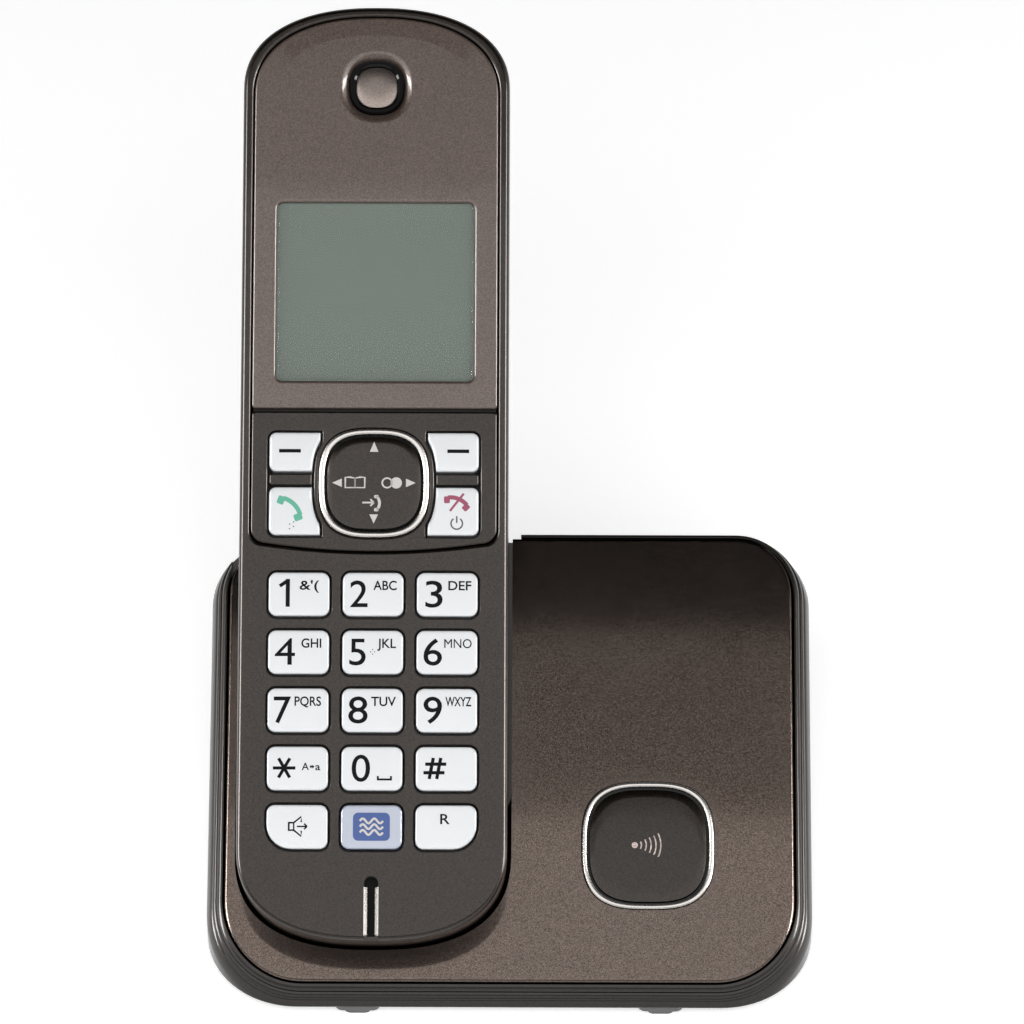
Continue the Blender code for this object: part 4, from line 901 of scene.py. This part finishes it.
def extra_marks(name):
    """The plain marks beside or in place of a key's letters."""
    if name == "1":
        return [line(0.72, (-1.95, DIGIT_LOW), (-1.95, DIGIT_LOW + DIGIT)),
                line(0.62, (-3.35, 1.35), (-1.9, 2.35))]
    if name == "0":
        return [line(0.34, (1.05, -1.35), (1.05, -1.95)), line(0.34, (0.9, -1.95), (3.5, -1.95)),
                line(0.34, (3.33, -1.35), (3.33, -1.95))]
    if name == "star":
        return list(spokes(-2.3, 0, 1.95, 0.55, 3, 0)) + [line(0.3, (2.2, 0.25), (2.85, 0.25)),
                patch(((2.6, 0.6), (2.6, -0.1), (2.95, 0.25))), patch(((2.4, 0.6), (2.1, 0.25), (2.4, -0.1)))]
    if name == "hash":
        return [line(0.58, (x - 0.35, -1.85), (x + 0.35, 1.85)) for x in (-2.6, -1.3)] + \
               [line(0.58, (-3.8 + s, y), (-0.15 + s, y)) for y, s in ((0.75, 0.15), (-0.75, -0.15))]
    if name == "speaker":
        horn = np.array(((-1.4, 0.65), (-0.55, 0.65), (0.75, 1.7), (0.75, 0.75)))
        low = horn * (1, -1)
        return [line(0.3, *horn), line(0.3, *low), line(0.3, (-1.4, 0.78), (-1.4, -0.78)),
                line(0.25, (-0.55, 0.6), (-0.55, -0.6))] + arrow(0.0, 1.75, 0, 0.26, 0.5)
    if name == "5":
        dots = ((0, 0.4), (0, -0.4), (-0.35, 0), (0.35, 0))
        return [patch(arc(dx, dy, 0.1, 0, 330, 10)) for dx, dy in dots]
    return []


def turned(points, degrees):
    a = math.radians(degrees)
    return np.asarray(points) @ np.array(((math.cos(a), math.sin(a)), (-math.sin(a), math.cos(a))))


def handset_mark(cx, cy, half, turn, width):
    """A receiver: a curved grip, hollow side down, with a rounded block at both ends."""
    shapes = [stroke(arc(0, -1.45 * half, 1.66 * half, 60, 120, 16), width)]
    for s in (-1, 1):
        block = turned(rounded(-0.24 * half, 0.24 * half, -0.3 * half, 0.27 * half, 0.1 * half, 3), -s * 24)
        shapes.append(patch(block + (s * 0.84 * half, -0.2 * half)))
    return [(turned(p, turn) + (cx, cy), f) for p, f in shapes]


def moved(shapes, x, y):
    return [(p + (x, y), f) for p, f in shapes]


def build_legends():
    for name, x, y, _ in key_spots():
        crown = number_crown(x, y)
        if name == "wave":
            badge = rounded(-3.2, 3.2, -2.45, 2.45, 0.9)
            printed("wave_badge", moved([patch(badge)], x, y), crown, BLUE, "key_wave")
            waves = []
            for up in (-1.0, 0.0, 1.0):
                u = np.linspace(-2.0, 2.0, 25)
                waves.append(stroke(np.stack((u, up + 0.42 * np.sin(u * np.pi)), -1), 0.38))
            lifted = number_crown(x, y, PRINT_UP)
            printed("wave_lines", moved(waves, x, y), lifted, WHITE_INK, "key_wave")
            continue
        shapes = [glyphs(*legend) for legend in LEGENDS[name]] + extra_marks(name)
        printed("legend_" + name, moved(shapes, x, y), crown, DARK_INK, "key_" + name)
    soft_y, call_y = (SOFT_LOW + SOFT_HIGH) / 2, (CALL_LOW + CALL_HIGH) / 2
    marks = {
        "soft_key_left": (DARK_INK, [line(0.62, (-16.6, soft_y + 0.1), (-12.8, soft_y + 0.1))]),
        "soft_key_right": (DARK_INK, [line(0.62, (12.8, soft_y + 0.1), (16.6, soft_y + 0.1))]),
        "talk_key": (GREEN_INK, handset_mark(-14.3, call_y + 0.75, 2.55, -45, 0.8)),
        "off_key": (RED_INK, handset_mark(14.6, call_y + 1.75, 2.15, -22, 0.75)
                    + [line(0.4, (13.3, call_y + 0.0), (15.7, call_y + 3.1))]),
    }
    for key, side, low, high in side_keys():
        crown = side_crown(side, low, high)
        ink, shapes = marks[key]
        printed("mark_" + key, shapes, crown, ink, key)
        if key == "off_key":
            power = [stroke(arc(14.5, call_y - 2.2, 1.0, 125, 415, 24), 0.26),
                     line(0.26, (14.5, call_y - 2.1), (14.5, call_y - 0.9))]
            printed("power_mark", power, crown, GREY_INK, key)
        if key == "talk_key":
            dots = [patch(arc(-14.3 + dx, call_y - 2.4 + dy, 0.12, 0, 330, 10))
                    for dx, dy in ((-0.35, 0), (0.35, 0.4), (0.35, -0.4), (-0.35, -0.8))]
            printed("talk_dots", dots, crown, GREY_INK, key)
    build_nav_marks()


def build_nav_marks():
    """Four triangles, a book, two overlapping rings and an arrow into a receiver."""
    y = NAV_MID
    triangles = [((0, y + 7.3), (-0.75, y + 5.5), (0.75, y + 5.5)),
                 ((0, y - 7.2), (0.75, y - 5.6), (-0.75, y - 5.6)),
                 ((-7.3, y), (-5.6, y - 0.75), (-5.6, y + 0.75)),
                 ((7.3, y), (5.6, y + 0.75), (5.6, y - 0.75))]
    shapes = [patch(t) for t in triangles]
    for s in (-1, 1):
        page = np.array(((0, -0.85), (1.7, -0.85), (1.7, 0.95), (0.9, 1.0), (0, 0.8))) * (s, 1)
        shapes.append(stroke(page + (-3.3, y), 0.3, closed=True))
    shapes += [stroke(arc(2.3, y, 0.85, 0, 345, 24), 0.28, closed=True), patch(arc(3.9, y, 1.0, 0, 345, 24))]
    shapes += arrow(-2.0, 0.0, y - 3.5, 0.3, 0.6)
    shapes.append(stroke(arc(-0.7, y - 3.6, 1.7, -48, 48, 10), 0.5))
    for s in (-1, 1):
        end = y - 3.6 + s * 1.15
        shapes.append(patch(rounded(0.05, 0.85, end - 0.3, end + 0.3, 0.2, 3)))
    printed("nav_marks", shapes, nav_crown, WHITE_INK, "nav_key")


# ---- handset: back ----------------------------------------------------------------------------------

BACK_CURVE = ((0.0, 0.0), (1.5, 0.06), (3.0, 0.3), (4.5, 0.6), (6.0, 1.05), (7.3, 1.65),
              (8.5, 2.4), (9.5, 3.3), (10.3, 4.3), (10.9, 5.35), (11.25, 6.1), (11.4, 6.7))


def heel_inset(depth, move=0.0, lower=0.0):
    """How far in the heel is: straight near the face, then along a plane level with the table."""
    h = (HEEL_Z - lower - FACE_Z + depth * math.cos(HANDSET_SLOPE)) / math.sin(HANDSET_SLOPE) - move
    return (h + math.hypot(h, 2 * HEEL_SOFT)) / 2 + move


def back_skin(inset, less):
    loops = []
    for below, side in BACK_CURVE:
        depth = SPLIT + GAP / 2 + (BACK - SPLIT - GAP / 2) * below / BACK_CURVE[-1][0]
        depth = min(depth, BACK - less)
        heel = max(heel_inset(depth, inset), side + inset if inset == 0 else inset)
        loops.append(at(handset_outline(side + inset, max(heel, 0), side + inset), -depth))
    return loops


def contact_ways(half_x, half_y, low, high):
    """Openings in the base's frame for both charging contacts."""
    middles = (HANDSET_X - CONTACT_X, HANDSET_X + CONTACT_X)
    return [prism(rounded(x - half_x, x + half_x, CONTACT_Y - half_y, CONTACT_Y + half_y, 0.3), low, high)
            for x in middles]


RINGER_MID, RINGER_PITCH, RINGER_SLOTS = COVER_HIGH + 40.7, 3.0, 5
GRIPS, GRIP_PITCH = 4, 2.2
SCREW_X, SCREW_Y, SCREW_WELL = 13.0, WINDOW_MID + WINDOW_H / 2 + 9.6, 2.8


def build_back():
    """Back shell with the battery bay, ringer slots and screw wells, and the cover over the bay."""
    outer, inner = back_skin(0, 0), back_skin(SHELL_WALL, SHELL_WALL)
    shell = piece("handset_back", lathe(np.stack(outer[::-1] + inner)), HANDSET, CASING, "handset",
                  ["handset_back_shell"], smooth_angle=30)
    cuts = [prism(rounded(-COVER_HALF + 3, COVER_HALF - 3, COVER_LOW + 3, COVER_HIGH - 6, 1), -30, -16)]
    for i in range(RINGER_SLOTS):
        y = RINGER_MID + (i - RINGER_SLOTS // 2) * RINGER_PITCH
        cuts.append(prism(rounded(-6, 6, y - 0.7, y + 0.7, 0.65), -30, -BACK + 4))
    cuts += [prism(squircle(x, SCREW_Y, SCREW_WELL, 2, 32), -30, -BACK + 1.5) for x in (-SCREW_X, SCREW_X)]
    carve(shell, cuts, HANDSET)
    carve(shell, contact_ways(1.6, 3.2, HEEL_Z - 2, HEEL_Z + 2.9), BASE)

    def cover(g):
        return rounded(-COVER_HALF - g, COVER_HALF + g, COVER_LOW - g, COVER_HIGH + g, 3)

    profile = np.concatenate((((0, -COVER_BACK + 1.5),), fillet(1.0, steps=6, high=0.7)[::-1] * (1, -1)
                              + (0, -COVER_BACK)))
    lid = piece("battery_lid", lathe(carry(cover, profile)), HANDSET, CASING, "battery_cover",
                ["battery_cover"])
    grips = []
    for i in range(GRIPS):
        low = COVER_HIGH - 12 + GRIP_PITCH * i
        grips.append(prism(rounded(-5, 5, low, low + 1, 0.45), -COVER_BACK - 1, -COVER_BACK + 0.4))
    carve(lid, grips, HANDSET)


# ---- base -------------------------------------------------------------------------------------------

# Lines down the side, each (vertical drop under the plate's plane, how far in): the plate's edge, then
# the casing's upper ridge, a groove, its middle ridge, a groove and the lower ridge.
EDGE = ((0.0, 1.9), (0.0, 1.7), (0.02, 1.5), (0.08, 1.38), (0.22, 1.3), (1.3, 1.3), (1.3, 1.9), (1.5, 2.0))
RIDGES = ((1.7, 2.0), (1.7, 0.95), (0.5, 0.95), (0.38, 0.86), (0.36, 0.7), (0.42, 0.5),
          (0.56, 0.36), (0.8, 0.28), (1.15, 0.26), (1.3, 0.32), (1.38, 0.75), (1.7, 0.75),
          (1.64, 0.3), (1.7, 0.12), (1.84, 0.03), (2.1, 0.0), (2.35, 0.02), (2.48, 0.1),
          (2.54, 0.55), (2.84, 0.55), (2.8, 0.2), (2.9, 0.06), (3.1, 0.0), (3.6, 0.0))
POCKET_GAP, POCKET_FLOOR_GAP, TUB_WALL = 0.7, 0.4, 1.2
POCKET_DEPTH, HIGH_ABOVE = COVER_BACK + POCKET_FLOOR_GAP, 30.0
TUB_DEPTHS = (0.0, 5.0, 10.0, 11.0, 12.0, 13.0, 14.0, 15.5, 17.0, 19.0, 20.5, 23.0, POCKET_DEPTH)


def pocket_skin(grow, deeper):
    """The pocket's loops in the base's frame, its first cut off at the plate's plane."""
    loops = []
    for depth in TUB_DEPTHS:
        extra = deeper if depth == POCKET_DEPTH else 0.0
        heel = heel_inset(depth + extra, -grow, POCKET_FLOOR_GAP + deeper)
        loops.append(at(handset_outline(-grow, heel, -grow), -(depth + extra)))
    return np.stack(loops)


FOOT_ROUND = 0.45


def build_base():
    """Plate with its edge, the ridged casing under it, and a floor."""
    plate = np.stack([wall(*step) for step in EDGE])
    top = piece("base_plate", lathe(plate), BASE, PLATE_PAINT, "base", ["base_top_shell"],
                smooth_angle=40)
    outer = [wall(*step) for step in RIDGES]
    flank, low = wall(SIDE_FLARE, 0.02), FOOT_H + FOOT_ROUND
    foot = at(base_outline(0, 0.02), low)
    outer += [flank + (foot - flank) * share for share in (0.0, 0.33, 0.67, 1.0)]
    for v in np.radians((30, 60, 90)):
        move, drop = FOOT_ROUND * (1 - math.cos(v)), FOOT_ROUND * math.sin(v)
        outer.append(at(base_outline(0, 0.02 + move), low - drop))
    inner = [at(base_outline(0.1, 2.2), FOOT_H + 1.4), wall(RIDGES[0][0], 2.5)]
    casing = piece("base_casing", lathe(np.stack(inner + outer)), BASE, UNDERSIDE, "base",
                   ["base_bottom_shell"], smooth_angle=40)
    return top, casing


def node_box(name):
    """Lowest and highest corner of a kept node, in the base's millimetres."""
    node = frame["nodes"][name]
    points = np.array([tuple(node.matrix_world @ v.co) + (1.0,) for v in node.data.vertices])
    points = (points @ np.linalg.inv(BASE).T)[:, :3]
    return points.min(0), points.max(0)


def build_ports(casing):
    """Openings in the rear wall for both sockets and wells in the floor for the screws."""
    ways = []
    for name in ("line_socket", "dc_socket"):
        low, high = node_box(name)
        way = rounded(low[0] - GAP, high[0] + GAP, low[1] - GAP, BASE_D + 5.0, 0.1, 2)
        ways.append(prism(way, low[2] - GAP, high[2] + GAP))
    for name in ("base_screw_1", "base_screw_2"):
        low, high = node_box(name)
        x, y = (low[:2] + high[:2]) / 2
        ways.append(prism(squircle(x, y, (high[0] - low[0]) / 2 + GAP, 2, 32), -1.0, FOOT_H + 1.1))
    carve(casing, ways, BASE)


def build_pocket(top, casing):
    """Open the plate and the casing for the handset, and put the tub's skin under the opening."""
    for part, more in ((top, 0.0), (casing, TUB_WALL + GAP)):
        over = at(handset_outline(-POCKET_GAP - more), HIGH_ABOVE)[None]
        opening = np.concatenate((over, pocket_skin(POCKET_GAP + more, more)))
        carve(part, [in_frame(lathe(opening), HANDSET, BASE)], BASE)
    inner, outer = pocket_skin(POCKET_GAP, 0.0), pocket_skin(POCKET_GAP + TUB_WALL, TUB_WALL)
    tub = piece("handset_tub", lathe(np.concatenate((outer[::-1], inner))), HANDSET, UNDERSIDE, "base")
    inside = np.stack((wall(1.05, 1.8), wall(4.0, 1.8), at(base_outline(0.1, 2.5), FOOT_H + 1.7)))
    carve(tub, [lathe(inside)], BASE, "INTERSECT")
    carve(tub, contact_ways(1.5, 2.2, 3, 12), BASE)


def in_frame(shape, source, target):
    """A shape given in one frame's millimetres, in another's."""
    m = np.linalg.inv(target) @ source
    points, faces = shape
    return points @ m[:3, :3].T + m[:3, 3], faces


def build_locator(top):
    """Ring and button in the plate, with a dot and five waves printed on the button, and a dark ring under
    the gap as painted shade.
    """
    hole = squircle(LOCATOR_X, LOCATOR_UP, LOCATOR_RING + 0.12, LOCATOR_POWER, 128)
    carve(top, [prism(hole, -4, 3)], PLATE)
    middle = (LOCATOR_X, LOCATOR_UP)
    half = LOCATOR_RING - LOCATOR_RING_W - DISC_GAP
    crown = disc_crown(*middle, half, LOCATOR_POWER, 22)
    ring_and_disc("locator", middle, LOCATOR_RING, LOCATOR_RING_W, LOCATOR_POWER, PLATE, "base",
                  "locator_button", 2.2, crown)
    marks = [patch(arc(LOCATOR_X - 2.3, LOCATOR_UP, 0.55, 0, 345, 20))]
    for i in range(5):
        marks.append(stroke(arc(LOCATOR_X - 2.6, LOCATOR_UP, 1.45 + 0.85 * i, -26, 26, 14), 0.24))
    printed("locator_mark", marks, crown, TONE_INK, "locator_button", PLATE)
    # A dark ring under the gap round the button: painted shade, so that the gap reads black.
    well = ((LOCATOR_RING + 0.1, -0.55), (half + 0.1, -0.55), (half + 0.1, -1.2), (LOCATOR_RING + 0.1, -1.2))
    loops = np.stack([at(squircle(*middle, h, LOCATOR_POWER), z) for h, z in well])
    piece("locator_well", hoop(loops), PLATE, DARK, "base")


def build_feet():
    """Oblong feet: a narrow pad under a wide boss, both with softened lower edges."""
    for row, y in (("front", FOOT_FRONT), ("rear", FOOT_REAR)):
        for name, x in (("left", -FOOT_X), ("right", FOOT_X)):
            steps = ((3.95, 0.0, FOOT_H + 0.6), (3.95, 0.0, 1.25), (3.85, 0.1, 0.98), (3.6, 0.2, 0.9),
                     (2.45, 0.25, 0.9), (2.45, 0.25, 0.12), (2.3, 0.35, 0.0))
            loops = np.stack([at(rounded(x - half, x + half, y + less, y + FOOT_L - less, 1.2, 5), z)
                              for half, less, z in steps])
            piece(f"foot_pad_{row}_{name}", lathe(loops), BASE, RUBBER, "base", [f"foot_{row}_{name}"])


# ---- finishes of the parts that stay as they are -----------------------------------------------------

KEPT = {
    "line_socket": DARK, "dc_socket": DARK, "base_board": BOARD, "handset_board": BOARD,
    "keypad_mat": RUBBER, "nav_pivot": RUBBER, "lcd_module": DISPLAY, "ear_speaker": DARK,
    "microphone": DARK, "ringer_speaker": DARK,
    "battery_cell_left": SLEEVE, "battery_cell_right": SLEEVE, "battery_contact_lower": CONTACT,
    "battery_contact_upper": CONTACT, "handset_contact_left": CONTACT, "handset_contact_right": CONTACT,
    "base_contact_left": CONTACT, "base_contact_right": CONTACT, "handset_screw_1": STEEL,
    "handset_screw_2": STEEL, "base_screw_1": STEEL, "base_screw_2": STEEL, "locator_switch": DARK,
}


def finish_kept_nodes():
    for name, material in KEPT.items():
        node = frame["nodes"][name]
        for slot in node.material_slots:
            slot.link = "OBJECT"
            slot.material = material


# ---- stage ----------------------------------------------------------------------------------------------

TARGET = np.array((0.2, 73.0, 49.9))
CAMERA_UP, CAMERA_FAR, LENS, CAMERA_TURN = 48.67, 1.221, 244.0, 0.25


# name, watts, width, length and place of each area light, in metres; the strips only make reflections
LIGHTS = (("overhead_softbox", 5.07, 1.3, 0.635, (0.0, -0.4025, 0.45)),
          ("softbox_rear", 0.16, 1.3, 0.044, (0.0, -0.063, 0.45)),
          ("left_strip", 11.0, 0.16, 0.8, (-0.7, -0.1, 0.3)),
          ("right_strip", 11.0, 0.16, 0.8, (0.7, -0.1, 0.3)))
FLOOR_HALF, LIGHT_AIM_Z = 3.0, 0.03


def build_stage():
    """Pale floor, camera before the front, lights, and a sky that is dark overhead."""
    size = FLOOR_HALF
    mesh = bpy.data.meshes.new("floor")
    corners = [(-size, -size, 0), (size, -size, 0), (size, size, 0), (-size, size, 0)]
    mesh.from_pydata(corners, [], [(0, 1, 2, 3)])
    mesh.materials.append(moulded("pale_floor", (250, 250, 250), roughness=0.9, grains=0.2, tone=0.01,
                                  bump=0.0, Specular_IOR_Level=0.0, Emission_Strength=0.5))
    floor = bpy.data.objects.new("floor", mesh)
    bpy.context.scene.collection.objects.link(floor)

    camera_data = bpy.data.cameras.new("camera")
    camera_data.lens, camera_data.sensor_width = LENS, 36.0
    camera_data.clip_end = 20.0
    camera = bpy.data.objects.new("camera", camera_data)
    bpy.context.scene.collection.objects.link(camera)
    up, turn = math.radians(CAMERA_UP), math.radians(CAMERA_TURN)
    target = BASE[:3, :3] @ TARGET + BASE[:3, 3]
    away = np.array((math.sin(turn) * math.cos(up), -math.cos(turn) * math.cos(up), math.sin(up)))
    camera.location = target + away * CAMERA_FAR
    camera.rotation_euler = (math.pi / 2 - up, 0, turn)
    bpy.context.scene.camera = camera

    for name, energy, wide, high, where in LIGHTS:
        light_data = bpy.data.lights.new(name, "AREA")
        light_data.shape, light_data.energy = "RECTANGLE", energy
        light_data.size, light_data.size_y = wide, high
        light = bpy.data.objects.new(name, light_data)
        bpy.context.scene.collection.objects.link(light)
        light.location = where
        strip = "strip" in name
        light.visible_diffuse = light.visible_transmission = not strip
        aim = Vector((0, 0 if strip else where[1], LIGHT_AIM_Z)) - Vector(where)
        light.rotation_euler = aim.to_track_quat("-Z", "Y").to_euler()

    world = bpy.data.worlds.new("studio")
    world.use_nodes = True
    tree = world.node_tree
    where = add(tree, "TexCoord")
    parts = add(tree, "SeparateXYZ", [("Vector", where.outputs["Generated"])])
    ramp = add(tree, "MapRange", [("Value", parts.outputs["Z"])], From_Min=0.2, From_Max=0.7,
               To_Min=0.85, To_Max=0.005)
    background = tree.nodes["Background"]
    tree.links.new(ramp.outputs[0], background.inputs["Strength"])
    background.inputs["Color"].default_value = (1, 1, 1, 1)
    bpy.context.scene.world = world
    bpy.context.scene.view_settings.view_transform = "Standard"


build_front_shell()
build_mic_liner()
build_panel_tray()
build_display_panel()
build_nav_panel()
build_nav_key()
build_keys()
build_legends()
build_back()
top_piece, casing_piece = build_base()
build_pocket(top_piece, casing_piece)
build_ports(casing_piece)
build_locator(top_piece)
build_feet()
finish_kept_nodes()
build_stage()
